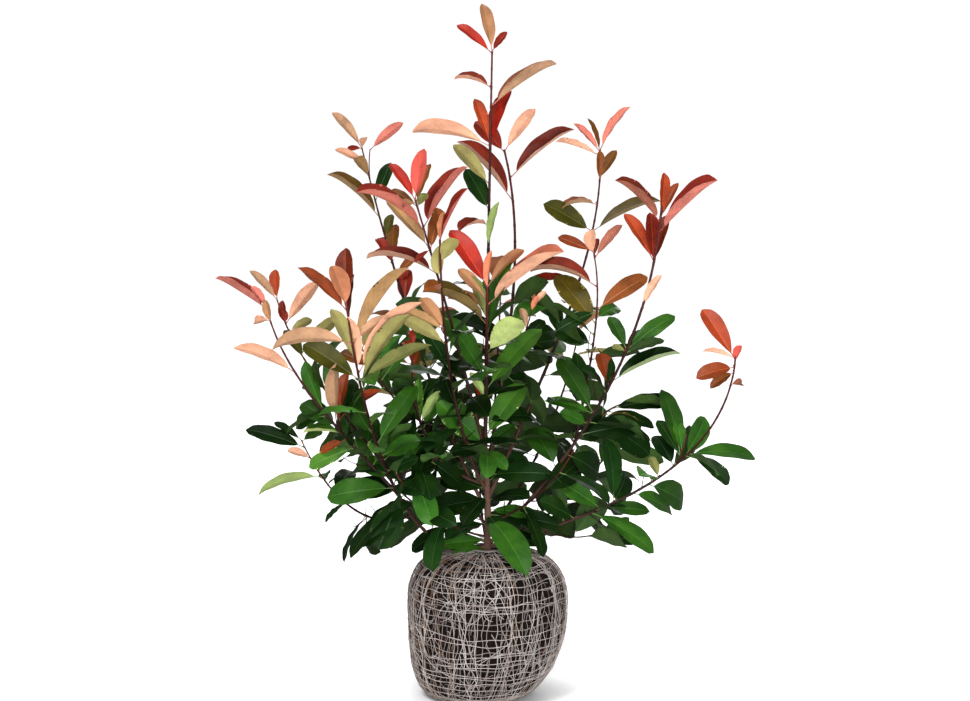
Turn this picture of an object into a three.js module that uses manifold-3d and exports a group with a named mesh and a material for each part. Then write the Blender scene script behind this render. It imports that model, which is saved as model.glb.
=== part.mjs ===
// A young red-leaved photinia, nursery grown, standing on a root ball that is wrapped in a net of fibre threads.
// Millimetres, +Z up. The origin is on the flat underside of the root ball, straight below the foot of the trunk.
// +X is to the right and +Y to the back when the plant is seen from its front.
import * as THREE from "three";
import { mergeVertices } from "three/addons/utils/BufferGeometryUtils.js";
import Module from "manifold-3d";

// ---------- sizes ----------
const BALL_HEIGHT = 243; // root ball, from the floor to the foot of the trunk
const BALL_RADIUS = 131; // at its widest
const BALL_WIDEST = 0.66; // share of its height at which it is widest
const BALL_SOLE = 56; // radius of the flat underside
const BALL_SAG = -17; // how far the underside has sunk to the left of the trunk
const BALL_DEPTH = 0.96; // front to back, against side to side
const GAP = 0.35; // clearance kept between neighbouring solids
const FLARE = 0.5; // root flare: share added to the trunk's radius at the ground
const FLARE_REACH = 11; // height over which the flare dies away
const LIMB_SIDES = 5;
const LIMB_STEPS = 16; // steps in which a limb's curve is worked out
const SPRAY_CORE = 7.5; // radius of the leafy twig in the middle of a foliage mass
const LEAF_WIDTH = 0.4; // width of a leaf, against its length
const LEAF_LOFT = 12; // thickness of the solid that stands for one leaf of a mass
const LEAF_LEAST = 71; // shorter leaves are left to the twig that carries them
const LEAF_THIN = 6; // of the leaves that fill a shoot with leading leaves, one in so many is in its solid
const LEAF_THIN_BACK = 4; // of the leaves that fill any other shoot, one in so many is left out of its solid
const LEAF_ROOT = 4; // depth to which a leaf's solid is rooted in its twig
const TURN = 137.508; // bearing from one leaf to the next along a shoot

const RED_LEAF = { color: 0xb5452f, roughness: 0.5, metalness: 0 };
const BRONZE_LEAF = { color: 0xb9805a, roughness: 0.5, metalness: 0 };
const GREEN_LEAF = { color: 0x2c5a22, roughness: 0.45, metalness: 0 };
const BARK = { color: 0x5d3034, roughness: 0.8, metalness: 0 };
const SOIL = { color: 0x6e5d55, roughness: 0.95, metalness: 0 };

// Each limb: what it grows from, where on that (0 foot, 1 tip), bearing and lean from upright at its foot, then at its tip,
// its length, how early it bends (under 1 early, over 1 late), its radius at foot and tip, and where its foliage mass begins (1 or more: it carries none).
const LIMBS = {
  trunk: [null, 0, -23.6, 3.6, -163.5, 4.6, 167, 0.74, 5.2, 4.2, 9, "trunk"],
  front: ["trunk", 1, -85.8, 14.4, -90.6, 15.2, 283, 3, 3.4, 2.2, 0.3, "bough_front_middle"],
  top: ["trunk", 0.98, 62.3, 1.9, 19.5, 1.3, 653, 2, 3.4, 1.5, 0.5, "bough_top"],
  topright: ["trunk", 0.75, 47.4, 14.7, 141.6, 17.6, 546, 2.46, 3.4, 1.7, 0.55, "bough_top_right"],
  redleft: ["trunk", 0.95, -142.3, 13.1, -150.8, 18.4, 440, 0.3, 3, 1.4, 0.45, "bough_left_of_middle"],
  nearleft: ["trunk", 0.58, -158.2, 44.9, -90.8, 18.9, 458, 0.3, 3, 1.5, 0.45, "bough_front_left"],
  upleft: ["trunk", 0.38, 159.3, 39.7, 138.5, 18.7, 649, 0.3, 3.2, 1.2, 0.5, "bough_upper_left"],
  young: ["trunk", 0.66, 172.8, 86.8, -67.3, 14.6, 293, 0.58, 2.7, 1.5, 0.45, "bough_young_front"],
  left: ["trunk", 0.045, -179, 135.4, -112.5, 16.6, 538, 0.3, 3.1, 1.5, 0.33, "bough_left"],
  farleft: ["left", 0.375, 177.3, 42.8, 172.3, 12.4, 377, 2.73, 2.7, 1.3, 0.25, "bough_far_left"],
  farleftback: ["left", 0.48, 144.3, 47.9, 126.1, 28.7, 351, 3, 2.3, 1.1, 0.3, "bough_far_left_back"],
  peach: ["farleft", 0.365, -138.9, 24.1, -86.5, 16.1, 118, 0.35, 1.7, 1.1, 0, null],
  leftinner: ["upleft", 0.245, 178, 134.3, -170.2, 27.2, 205, 0.3, 2.2, 1.2, 0.3, "bough_left_inner"],
  upright: ["trunk", 0.5, 32.4, 29.1, 97.5, 13.8, 629, 3, 3.2, 1.3, 0.45, "bough_upper_right"],
  right: ["trunk", 0.04, -7.5, 43.4, -73.4, 10.4, 647, 1.34, 3.1, 1.7, 0.42, "bough_right"],
  rightinner: ["right", 0.355, 53.4, 19.5, 130.3, 20.1, 327, 3, 2.2, 1.1, 0.3, "bough_right_inner"],
  farright: ["trunk", 0.03, -2.8, 72.9, -92.6, 22.1, 574, 1.91, 2.7, 1.4, 0.34, "bough_far_right"],
  lowleft: ["left", 0.295, 170.4, 127.1, 141.8, 32.8, 256, 0.51, 2.2, 1.1, 0.3, "bough_low_left"],
  bud: ["topright", 0.285, 17.5, 51.2, 51.2, 19.7, 166, 0.3, 1.5, 0.9, 0, null],
  lowright: ["farright", 0.16, 28.4, 109.2, 32, 70.2, 131, 1.68, 1.6, 0.9, 0, null],
  midright: ["right", 0.37, 51.1, 65, 42.3, 85.6, 127, 3, 2, 1.1, 0, null],
  farrighttwig: ["farright", 0.605, -20.5, 20.6, -53.8, 9.1, 51, 2.98, 1.5, 0.9, 0, null],
  across: ["left", 0.435, 6, 78, 8.3, 63.2, 97, 0.3, 1.7, 0.9, 0, null],
  fork: ["upleft", 0.915, 103.2, 25.4, 77.9, 23.6, 54, 1.08, 1.1, 0.8, 0, null],
  back: ["trunk", 0.3, 85, 42, 80, 16, 430, 1, 2.9, 1.1, 0.35, "bough_back"],
  backright: ["trunk", 0.16, 48, 54, 60, 20, 450, 1, 2.8, 1, 0.35, "bough_back_right"],
  backleft: ["trunk", 0.22, 128, 54, 116, 20, 450, 1, 2.8, 1, 0.35, "bough_back_left"],
  backlowright: ["trunk", 0.07, 38, 84, 46, 46, 330, 1, 2.5, 1, 0.35, "bough_back_low_right"],
  backlowleft: ["trunk", 0.08, 142, 84, 134, 46, 320, 1, 2.5, 1, 0.35, "bough_back_low_left"],
  backlow: ["trunk", 0.06, 96, 80, 88, 34, 310, 1, 2.5, 1, 0.35, "bough_back_low"],
  frontlowright: ["trunk", 0.26, -30, 68, -46, 34, 225, 1, 2.1, 0.9, 0.35, "bough_front_low_right"],
  frontlowleft: ["trunk", 0.13, -146, 76, -138, 34, 235, 1, 2.1, 0.9, 0.35, "bough_front_low_left"],
};

// Leading leaves, which draw the outline. Each: place on its shoot, bearing, lean from the shoot, length, roll about its own length, arch.
const LEADING = {
  top: [[1, -120, 25, 83, 1, 15], [1, 26, 38, 42, 45, 10], [0.995, 161, 53, 77, -36, 10], [0.91, 164, 77, 65, -13, 42], [0.865, 17, 56, 132, -5, 14], [0.775, 142, 25, 79, -29, 4], [0.765, -162, 80, 136, 38, 50], [0.755, 41, 23, 108, 1, 20], [0.755, 60, 17, 97, -37, 15], [0.67, -156, 45, 92, 43, 20], [0.605, 151, 33, 82, -38, 20], [0.57, -142, 99, 62, -7, 55], [0.51, -56, 18, 83, 21, 20]],
  topright: [[0.995, -26, 52, 89, -39, 15], [0.99, 162, 31, 76, -55, 10], [0.91, 2, 60, 137, 31, 18], [0.84, 176, 36, 138, -21, 15]],
  front: [[1, 132, 49, 116, -17, 15], [1, -9, 41, 89, -61, 30], [0.98, -4, 5, 68, -5, 10], [0.92, -172, 40, 73, 72, 20], [0.89, -24, 49, 169, 3, 12], [0.79, 180, 17, 83, 63, 15], [0.77, -169, 58, 123, 4, 42], [0.68, 1, 15, 137, 23, 20], [0.6, -32, 41, 94, -55, 20], [0.435, 136, 48, 129, -18, 20], [0.375, 38, 53, 140, 13, 25], [0.31, 173, 29, 55, 71, 20], [0.28, 128, 45, 38, -11, 10], [0.08, 42, 48, 112, 19, 22], [0.03, 179, 47, 109, -47, 22], [0.03, 130, 45, 48, -13, 20], [0.03, 28, 64, 61, 31, 20], [0, -88, 105, 73, -23, 40], [0, -50, 106, 58, 20, 40]],
  upleft: [[1, -140, 33, 79, 11, 20], [1, 152, 75, 30, -70, 10], [1, -72, 75, 37, -4, 10], [0.955, -160, 53, 59, 34, 30], [0.92, -106, 52, 51, 6, 20], [0.855, -6, 36, 71, 76, 15], [0.81, -176, 34, 116, -25, 25], [0.755, 15, 30, 44, 56, 15], [0.71, 16, 27, 55, 54, 15], [0.71, 114, 41, 51, -5, 15], [0.69, -8, 19, 64, 75, 10], [0.685, -171, 14, 51, -75, 20], [0.655, 2, 63, 50, 71, 20], [0.58, 37, 27, 62, 34, 10]],
  fork: [[0.995, -19, 49, 73, -33, 15]],
  redleft: [[1, -21, 27, 89, -45, 12], [1, 125, 34, 76, 3, 15], [0.99, 42, 46, 71, 13, 10], [0.99, -117, 80, 40, 69, 30], [0.975, -42, 56, 37, -44, 10], [0.975, 148, 49, 53, -30, 20], [0.895, 32, 58, 127, -12, 10], [0.88, -157, 42, 134, -11, 38], [0.815, -154, 26, 109, 45, 15], [0.81, -152, 106, 34, -45, 10], [0.805, 48, 41, 74, 21, 10], [0.715, 161, 66, 123, 6, 46]],
  nearleft: [[1, 96, 44, 55, 21, 10], [1, -9, 26, 98, 14, 12], [0.99, -9, 8, 53, -10, 10], [0.99, -165, 177, 53, 8, 40], [0.91, -33, 31, 58, -48, 30], [0.835, -120, 79, 51, -39, 25], [0.66, -168, 54, 76, 80, 25], [0.66, -178, 29, 69, 77, 20], [0.605, -170, 48, 87, 79, 30], [0.5, 121, 47, 82, -2, 25]],
  left: [[1, 84, 41, 102, -14, 10], [1, -150, 10, 76, 44, 20], [0.99, 140, 56, 112, 3, 15], [0.955, 76, 43, 82, -34, 10], [0.895, -8, 61, 77, -64, 20], [0.885, -152, 76, 139, 58, 60], [0.88, -6, 41, 164, -35, 18], [0.825, -166, 12, 102, 56, 25], [0.795, 4, 2, 97, -43, 15], [0.79, -4, 48, 163, -43, 30], [0.77, 146, 60, 114, -23, 20], [0.765, -8, 68, 137, -49, 25], [0.76, -2, 43, 145, -43, 25], [0.555, 42, 66, 122, 27, 25], [0.545, -94, 69, 66, -42, 25], [0.515, -8, 79, 73, 42, 25], [0.46, -20, 75, 66, 43, 25], [0.43, 127, 71, 80, -6, 30], [0.4, 172, 80, 117, -33, 25], [0.365, -134, 112, 96, -50, 30], [0.35, -144, 95, 130, -6, 25]],
  young: [[1, 106, 60, 33, 8, 10], [0.975, 116, 89, 37, -23, 15], [0.96, 70, 89, 30, 20, 10], [0.88, 95, 69, 40, 21, 10], [0.795, 68, 37, 52, -1, 10], [0.535, 114, 30, 89, 7, 20], [0.535, 2, 47, 65, -60, 20], [0.53, 64, 33, 79, -2, 20], [0.5, 33, 56, 85, 35, 20], [0.48, -54, 118, 51, 10, 35], [0.47, 174, 83, 79, -47, 35], [0.46, -128, 94, 80, -38, 35]],
  farleft: [[0.995, -134, 27, 43, 28, 15], [0.985, 162, 46, 101, 9, 5], [0.935, -128, 81, 37, 58, 15], [0.92, -70, 17, 41, 13, 10], [0.685, -147, 39, 114, 16, 30], [0.475, 45, 24, 93, 22, 20], [0.39, 130, 32, 80, -3, 20], [0.36, 168, 50, 65, -3, 20], [0.325, 172, 77, 51, -58, 25], [0.28, 74, 58, 94, 7, 20], [0.275, 172, 72, 85, -56, 25], [0.19, 50, 59, 94, 30, 20], [0.165, 18, 81, 77, 59, 25]],
  farleftback: [[1, -39, 18, 52, 108, 10], [1, -124, 40, 68, 0, 15], [0.97, -79, 155, 40, -20, 10], [0.87, -26, 68, 89, -33, 20], [0.87, -38, 18, 41, 106, 20], [0.825, -18, 90, 44, -42, 20], [0.7, -23, 82, 88, -39, 25], [0.67, -100, 11, 60, -138, 30], [0.415, -18, 35, 77, 84, 20]],
  peach: [[0.995, -86, 46, 22, 25, 10], [0.185, -68, 17, 118, 27, 15], [0.18, 34, 74, 89, 13, 25], [0.155, 68, 43, 85, -10, 18], [0.125, 58, 48, 71, 11, 20], [0.12, 115, 5, 80, -29, 18]],
  leftinner: [[1, 96, 43, 40, -25, 10], [0.99, -4, 55, 51, -64, 20], [0.825, 161, 40, 59, -35, 20], [0.685, 18, 77, 113, 41, 25], [0.515, 54, 23, 71, 11, 20], [0.37, -1, 94, 77, 55, 20]],
  upright: [[1, -32, 39, 90, -4, 25], [0.995, -148, 24, 61, -66, 15], [0.995, -167, 44, 66, 22, 15], [0.985, -178, 72, 79, 20, 20], [0.92, -20, 28, 57, 85, 20], [0.915, -108, 11, 52, -139, 10], [0.85, -166, 106, 62, -17, 48], [0.775, -172, 73, 95, -79, 20], [0.775, -4, 53, 127, 32, 22], [0.635, -175, 107, 83, -47, 25], [0.475, 154, 36, 66, -48, 25], [0.465, -130, 118, 73, -45, 25]],
  rightinner: [[0.98, 171, 55, 65, -72, 15], [0.965, -90, 53, 55, 23, 10], [0.955, 20, 22, 33, 46, 10], [0.945, -30, 54, 74, -34, 20], [0.795, 170, 73, 117, -27, 50], [0.68, 4, 52, 103, 70, 25], [0.67, -173, 120, 75, -69, 25], [0.635, 51, 60, 66, 43, 25], [0.605, 156, 44, 115, -56, 15], [0.495, 146, 72, 80, -65, 25], [0.47, -94, 104, 44, 24, 35], [0.19, 170, 33, 90, -61, 20], [0.17, 165, 17, 96, -54, 25]],
  right: [[0.975, 86, 31, 75, 35, 10], [0.97, 52, 37, 68, -1, 15], [0.96, -168, 50, 104, -9, 20], [0.935, -27, 39, 132, 17, 8], [0.86, 140, 51, 96, -19, 15], [0.855, 112, 33, 87, -2, 10], [0.855, 76, 30, 87, -22, 10], [0.735, -39, 13, 68, -15, 15], [0.625, 146, 57, 64, -38, 22], [0.625, 32, 42, 101, 22, 25], [0.62, -154, 83, 30, 75, 30], [0.615, -21, 46, 71, -44, 25], [0.535, 22, 47, 126, -13, 20], [0.52, 126, 60, 69, -23, 15], [0.51, 122, 33, 55, 0, 15], [0.44, 154, 68, 112, -45, 25], [0.44, -172, 101, 85, -25, 25], [0.41, -157, 90, 58, -49, 25], [0.375, 14, 53, 106, 37, 30], [0.315, 32, 96, 95, 52, 35], [0.27, 138, 80, 95, -44, 30]],
  farright: [[0.98, -172, 75, 56, 56, 15], [0.975, 124, 59, 102, -15, 8], [0.965, -62, 13, 37, -18, 15], [0.95, -158, 100, 67, -30, 40], [0.935, -146, 116, 48, -19, 30], [0.895, -66, 58, 37, -62, 50], [0.65, -4, 87, 87, 46, 40], [0.64, 8, 55, 119, 9, 45], [0.635, 110, 44, 80, -1, 20], [0.59, 140, 91, 73, -48, 25], [0.535, 178, 74, 40, 71, 20], [0.5, 20, 77, 95, 33, 30], [0.385, 126, 66, 80, -20, 35], [0.365, 17, 32, 37, 13, 30], [0.345, 6, 32, 84, 29, 30], [0.345, 180, 120, 81, -47, 25], [0.315, -1, 57, 128, 36, 35], [0.265, -173, 122, 73, -36, 25]],
  farrighttwig: [[0.415, 130, 41, 57, -22, 20], [0.26, 136, 45, 118, -22, 30], [0.235, 146, 59, 73, -38, 25]],
  midright: [[0.735, -8, 41, 111, 115, 35], [0.67, 27, 57, 85, 97, 30], [0.61, 36, 168, 73, 76, 30], [0.6, 30, 63, 69, 107, 30], [0.41, 32, 71, 108, 105, 35]],
  lowright: [[0.91, -122, 37, 56, -150, 25], [0.875, 18, 39, 66, 105, 30]],
  lowleft: [[1, -176, 30, 56, -65, 20], [0.995, 28, 80, 44, 75, 20], [0.945, 178, 45, 106, -68, 25], [0.865, -150, 49, 42, 32, 20], [0.715, -166, 75, 114, 8, 50], [0.68, 86, 60, 51, 19, 25], [0.6, -10, 131, 99, 76, 20], [0.585, 42, 70, 73, 69, 25], [0.48, 162, 78, 48, -53, 30], [0.315, 169, 92, 87, -40, 30]],
  trunk: [[0.75, -14, 89, 110, 53, 25], [0.7, 64, 69, 80, 17, 25], [0.6, 156, 79, 87, -48, 30], [0.55, -134, 123, 73, -26, 30], [0.5, -164, 95, 98, -51, 30], [0.4, -15, 95, 89, 42, 30], [0.35, -66, 112, 78, 11, 30], [0.35, -16, 95, 123, 51, 30], [0.32, -67, 111, 170, 11, 40], [0.145, -15, 95, 93, 43, 35], [0.095, -166, 95, 84, -50, 30], [0.015, -148, 104, 73, -42, 35]],
  across: [[1, 38, 35, 66, 6, 25], [0.73, 20, 68, 80, 51, 30], [0.525, -29, 96, 87, 60, 30], [0.345, 162, 22, 79, -27, 25]],
  bud: [[0.875, -143, 35, 33, 27, 10], [0.845, -36, 36, 32, -28, 15], [0.775, -77, 30, 30, 10, 10], [0.59, -146, 38, 37, 31, 10], [0.435, 23, 25, 58, 49, 25], [0.425, 43, 50, 80, 42, 25]],
  frontlowleft: [[0.32, -164, 74, 82, -20, 30]],
  frontlowright: [[0.34, -39, 90, 92, 12, 20]],
};

// Leaves that fill a shoot: from, to, how many, bearing of the topmost, and the seed of their small differences.
const FILLING = {
  back: [[0.3, 1, 12, -117, 271]],
  backright: [[0.25, 1, 10, 135, 6459]],
  backleft: [[0.25, 1, 11, 101, 8411]],
  backlowright: [[0.3, 1, 15, -147, 6501]],
  backlowleft: [[0.3, 1, 13, 85, 4519]],
  backlow: [[0.3, 1, 9, 47, 5525]],
  frontlowright: [[0.35, 1, 2, -56, 7895]],
  frontlowleft: [[0.35, 1, 8, -27, 3169]],
  trunk: [[0.25, 0.95, 7, 103, 961]],
  front: [[0.05, 0.55, 2, -104, 3173]],
  top: [[0.05, 0.42, 6, -174, 5708]],
  topright: [[0.15, 0.62, 10, 19, 7970]],
  redleft: [[0.12, 0.55, 9, 166, 684]],
  nearleft: [[0.15, 0.6, 6, 51, 6754]],
  upleft: [[0.15, 0.55, 16, -50, 1184]],
  young: [[0.15, 0.65, 6, 80, 7922]],
  left: [[0.3, 0.78, 11, -90, 8990]],
  farleft: [[0.08, 0.5, 3, 145, 630]],
  farleftback: [[0.1, 0.6, 9, -3, 9848]],
  leftinner: [[0.05, 0.8, 7, 46, 4697]],
  upright: [[0.15, 0.55, 11, 33, 4967]],
  right: [[0.25, 0.66, 4, 72, 1913]],
  rightinner: [[0.08, 0.6, 4, -166, 454]],
  farright: [[0.2, 0.66, 8, -39, 2932]],
  lowleft: [[0.2, 0.9, 2, 3, 9563]],
  midright: [[0.2, 1, 5, -50, 7273]],
  lowright: [[0.25, 1, 4, 113, 7819]],
  across: [[0.1, 0.9, 4, 102, 4721]],
  bud: [[0.05, 0.45, 5, -176, 4825]],
};

// Foliage masses: name, the shoots whose leaves it gathers, the colour of most of its leaves.
const MASSES = [
  ["foliage_top", ["top"], RED_LEAF],
  ["foliage_top_right", ["topright", "bud"], RED_LEAF],
  ["foliage_front_middle", ["front"], GREEN_LEAF],
  ["foliage_left_of_middle", ["redleft"], RED_LEAF],
  ["foliage_front_left", ["nearleft"], RED_LEAF],
  ["foliage_upper_left", ["upleft", "fork"], BRONZE_LEAF],
  ["foliage_young_front", ["young"], RED_LEAF],
  ["foliage_left", ["left", "across"], BRONZE_LEAF],
  ["foliage_far_left", ["farleft", "peach"], RED_LEAF],
  ["foliage_far_left_back", ["farleftback"], BRONZE_LEAF],
  ["foliage_left_inner", ["leftinner"], BRONZE_LEAF],
  ["foliage_upper_right", ["upright"], RED_LEAF],
  ["foliage_right", ["right", "midright"], RED_LEAF],
  ["foliage_right_inner", ["rightinner"], BRONZE_LEAF],
  ["foliage_far_right", ["farright", "farrighttwig"], GREEN_LEAF],
  ["foliage_low_right", ["lowright"], GREEN_LEAF],
  ["foliage_low_left", ["lowleft"], GREEN_LEAF],
  ["foliage_front_low_right", ["frontlowright"], GREEN_LEAF],
  ["foliage_front_low_left", ["frontlowleft"], GREEN_LEAF],
  ["foliage_centre_low", ["trunk"], GREEN_LEAF],
  ["foliage_back", ["back"], GREEN_LEAF],
  ["foliage_back_right", ["backright"], GREEN_LEAF],
  ["foliage_back_left", ["backleft"], GREEN_LEAF],
  ["foliage_back_low_right", ["backlowright"], GREEN_LEAF],
  ["foliage_back_low_left", ["backlowleft"], GREEN_LEAF],
  ["foliage_back_low", ["backlow"], GREEN_LEAF],
];

// ---------- small tools ----------
const wasm = await Module();
wasm.setup();
const rad = THREE.MathUtils.degToRad;
const V = (x, y, z) => new THREE.Vector3(x, y, z);

// A seeded row of numbers between 0 and 1.
function seeded(seed) {
  let a = seed >>> 0;
  return () => {
    a = (a + 0x6d2b79f5) >>> 0;
    let t = a;
    t = Math.imul(t ^ (t >>> 15), t | 1);
    t ^= t + Math.imul(t ^ (t >>> 7), t | 61);
    return ((t ^ (t >>> 14)) >>> 0) / 4294967296;
  };
}

const heading = (bearing, lean) =>
  V(Math.cos(rad(bearing)) * Math.sin(rad(lean)), Math.sin(rad(bearing)) * Math.sin(rad(lean)), Math.cos(rad(lean)));

// The points of a limb's centre line, whose heading swings from that at its foot to that at its tip.
function centreLine(foot, bearing0, lean0, bearing1, lean1, length, bend) {
  const start = heading(bearing0, lean0), end = heading(bearing1, lean1), line = [foot.clone()];
  for (let i = 0; i < LIMB_STEPS; i++) {
    const u = Math.pow((i + 0.5) / LIMB_STEPS, bend);
    const step = start.clone().lerp(end, u).normalize().multiplyScalar(length / LIMB_STEPS);
    line.push(line[i].clone().add(step));
  }
  return line;
}
function at(line, u) {
  const s = u * (line.length - 1), i = Math.min(Math.floor(s), line.length - 2);
  return line[i].clone().lerp(line[i + 1], s - i);
}
const along = (line, u) => at(line, Math.min(u + 0.03, 1)).sub(at(line, Math.max(u - 0.03, 0))).normalize();

// A three.js geometry as a solid, and a solid back as a mesh.
function solid(geometry) {
  geometry.deleteAttribute("normal");
  geometry.deleteAttribute("uv");
  const g = mergeVertices(geometry, 1e-4);
  return new wasm.Manifold(new wasm.Mesh({ numProp: 3, vertProperties: g.attributes.position.array, triVerts: new Uint32Array(g.index.array) }));
}
// The largest body of a solid, once its vertices are as coarse as a mesh keeps them.
function largest(s) {
  const m = s.getMesh(), g = new THREE.BufferGeometry();
  g.setAttribute("position", new THREE.BufferAttribute(new Float32Array(m.vertProperties), 3));
  g.setIndex(new THREE.BufferAttribute(new Uint32Array(m.triVerts), 1));
  const coarse = mergeVertices(g.toNonIndexed(), 2e-3);
  const bodies = new wasm.Manifold(new wasm.Mesh({ numProp: 3, vertProperties: coarse.attributes.position.array, triVerts: new Uint32Array(coarse.index.array) })).decompose();
  return bodies.reduce((a, b) => (b.volume() > a.volume() ? b : a));
}
const parts = new THREE.Group();
function keep(name, s, look) {
  const m = s.getMesh(), g = new THREE.BufferGeometry();
  g.setAttribute("position", new THREE.BufferAttribute(new Float32Array(m.vertProperties), 3));
  g.setIndex(new THREE.BufferAttribute(new Uint32Array(m.triVerts), 1));
  const flat = g.toNonIndexed();
  flat.computeVertexNormals();
  const mesh = new THREE.Mesh(flat, new THREE.MeshStandardMaterial(look));
  mesh.name = name;
  parts.add(mesh);
}
const boxOf = (s) => { const b = s.boundingBox(); return [...b.min, ...b.max]; };
const near = (a, b) => a[0] < b[3] && b[0] < a[3] && a[1] < b[4] && b[1] < a[4] && a[2] < b[5] && b[2] < a[5];

// ---------- root ball ----------
// A sagging ball: full above its middle, drawn in under the trunk, pressed flat where it stands.
function rootBall(grown) {
  const top = BALL_HEIGHT + grown, wide = BALL_RADIUS + grown, widest = BALL_HEIGHT * BALL_WIDEST, profile = [new THREE.Vector2(0, -grown)];
  profile.push(new THREE.Vector2(BALL_SOLE + grown, -grown));
  const low = 7, high = 5;
  for (let i = 1; i <= low; i++) {
    const a = (i / low) * (Math.PI / 2);
    profile.push(new THREE.Vector2(BALL_SOLE + grown + (wide - BALL_SOLE - grown) * Math.pow(Math.sin(a), 0.8), -grown + (widest + grown) * (1 - Math.pow(Math.cos(a), 0.9))));
  }
  for (let i = 1; i < high; i++) {
    const a = (i / high) * (Math.PI / 2);
    profile.push(new THREE.Vector2(wide * Math.pow(Math.cos(a), 0.5), widest + (top - widest) * Math.pow(Math.sin(a), 0.9)));
  }
  profile.push(new THREE.Vector2(30, top), new THREE.Vector2(0, top));
  const g = new THREE.LatheGeometry(profile, 22);
  g.rotateX(Math.PI / 2);
  const p = g.attributes.position;
  for (let i = 0; i < p.count; i++) {
    const x = p.getX(i), y = p.getY(i), z = p.getZ(i), h = Math.max(0, Math.min(1, z / BALL_HEIGHT)), turn = Math.atan2(y, x);
    const lump = 1 + 0.014 * Math.sin(3 * turn + 1) * Math.sin(Math.PI * h) + 0.01 * Math.sin(5 * turn + 4 * h) * Math.sin(Math.PI * h);
    p.setXYZ(i, x * lump + BALL_SAG * Math.pow(1 - h, 3), y * lump * BALL_DEPTH, z);
  }
  return solid(g);
}

// ---------- limbs ----------
// A tapering cylinder bent along its line from share `from` to share `to`.
function bentRod(line, from, to, radiusAt, steps, sides, grown) {
  const g = new THREE.CylinderGeometry(1, 1, 1, sides, steps), p = g.attributes.position;
  let side = null;
  const rings = [];
  for (let i = 0; i <= steps; i++) {
    const u = from + ((to - from) * i) / steps, way = along(line, u), centre = at(line, u);
    if (!side) side = V(Math.abs(way.x) < 0.8 ? 1 : 0, Math.abs(way.x) < 0.8 ? 0 : 1, 0);
    side = side.clone().sub(way.clone().multiplyScalar(side.dot(way))).normalize();
    if (i === 0) centre.addScaledVector(way, -grown);
    if (i === steps) centre.addScaledVector(way, grown);
    rings.push({ centre, side, other: way.clone().cross(side), radius: radiusAt(u) + grown });
  }
  for (let i = 0; i < p.count; i++) {
    const ring = rings[Math.round((p.getY(i) + 0.5) * steps)];
    // CylinderGeometry winds about +Y, so x stays and z turns to keep its faces out
    const q = ring.centre.clone().addScaledVector(ring.side, p.getX(i) * ring.radius).addScaledVector(ring.other, -p.getZ(i) * ring.radius);
    p.setXYZ(i, q.x, q.y, q.z);
  }
  return solid(g);
}
const lines = {};
function limbSolid(name, grown) {
  const [from, , , , , , length, , foot, tip, leafy] = LIMBS[name];
  const end = Math.min(1, leafy + 8 / length);
  const radiusAt = (u) => {
    const r = foot + (tip - foot) * u;
    return from ? r : r * (1 + FLARE * Math.exp((-u * length) / FLARE_REACH));
  };
  return bentRod(lines[name], 0, end, radiusAt, from ? Math.max(3, Math.round((length * end) / 75)) : 8, from ? LIMB_SIDES : 10, grown);
}

// ---------- foliage ----------
// One leaf: a ridged lozenge from its node to its tip, lifted by its arch.
function leafSolid(line, [u, bearing, lean, length, roll, arch, outward], grown) {
  const way = along(line, u), node = at(line, u);
  const flat = V(Math.cos(rad(bearing)), Math.sin(rad(bearing)), 0);
  flat.addScaledVector(way, -flat.dot(way)).normalize();
  const chord = way.clone().multiplyScalar(Math.cos(rad(lean))).addScaledVector(flat, Math.sin(rad(lean)));
  let face = way.clone();
  if (outward) {
    const out = V(node.x, node.y, 0);
    out.divideScalar(out.length() + 60);
    face = way.clone().multiplyScalar(0.3).add(V(0, 0, 0.45)).addScaledVector(out, 0.75);
  }
  face.addScaledVector(chord, -face.dot(chord));
  if (face.length() < 0.15) { face.add(V(0, 0, 0.3)); face.addScaledVector(chord, -face.dot(chord)); }
  face.normalize();
  const across0 = chord.clone().cross(face);
  const up = face.clone().multiplyScalar(Math.cos(rad(roll))).addScaledVector(across0, Math.sin(rad(roll)));
  const across = chord.clone().cross(up);
  const bow = 0.6 * (length / 2) * Math.tan(rad(arch) / 4);
  const a = (length + LEAF_ROOT) / 2, b = (LEAF_WIDTH * length) / 2, c = Math.max(LEAF_LOFT, 3.1 * bow);
  const more = 1 + (grown * 1.45 * 3) / c;
  // foot, tip, one side, the other side, ridge
  const spots = [[-1, 0, 0], [1, 0, 0], [0, 0, 1], [0, 0, -1], [0, 1, 0]];
  const g = new THREE.PolyhedronGeometry(spots.flat(), [0, 2, 4, 0, 4, 3, 0, 3, 2, 1, 4, 2, 1, 3, 4, 1, 2, 3], 1, 0), p = g.attributes.position;
  const centre = node.clone().addScaledVector(chord, a - LEAF_ROOT);
  for (let i = 0; i < p.count; i++) {
    const x = p.getX(i), z = p.getZ(i), y = p.getY(i) > 0.5 ? 2 / 3 : Math.abs(x) > 0.5 ? 0 : -1 / 3;
    const q = centre.clone().addScaledVector(chord, x * a * more).addScaledVector(up, y * c * more).addScaledVector(across, z * b * more);
    if (Math.abs(x) < 0.5) q.addScaledVector(up, bow);
    p.setXYZ(i, q.x, q.y, q.z);
  }
  // chord, up and across are a right-handed set, so the faces stay outwards
  return solid(g);
}
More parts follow.
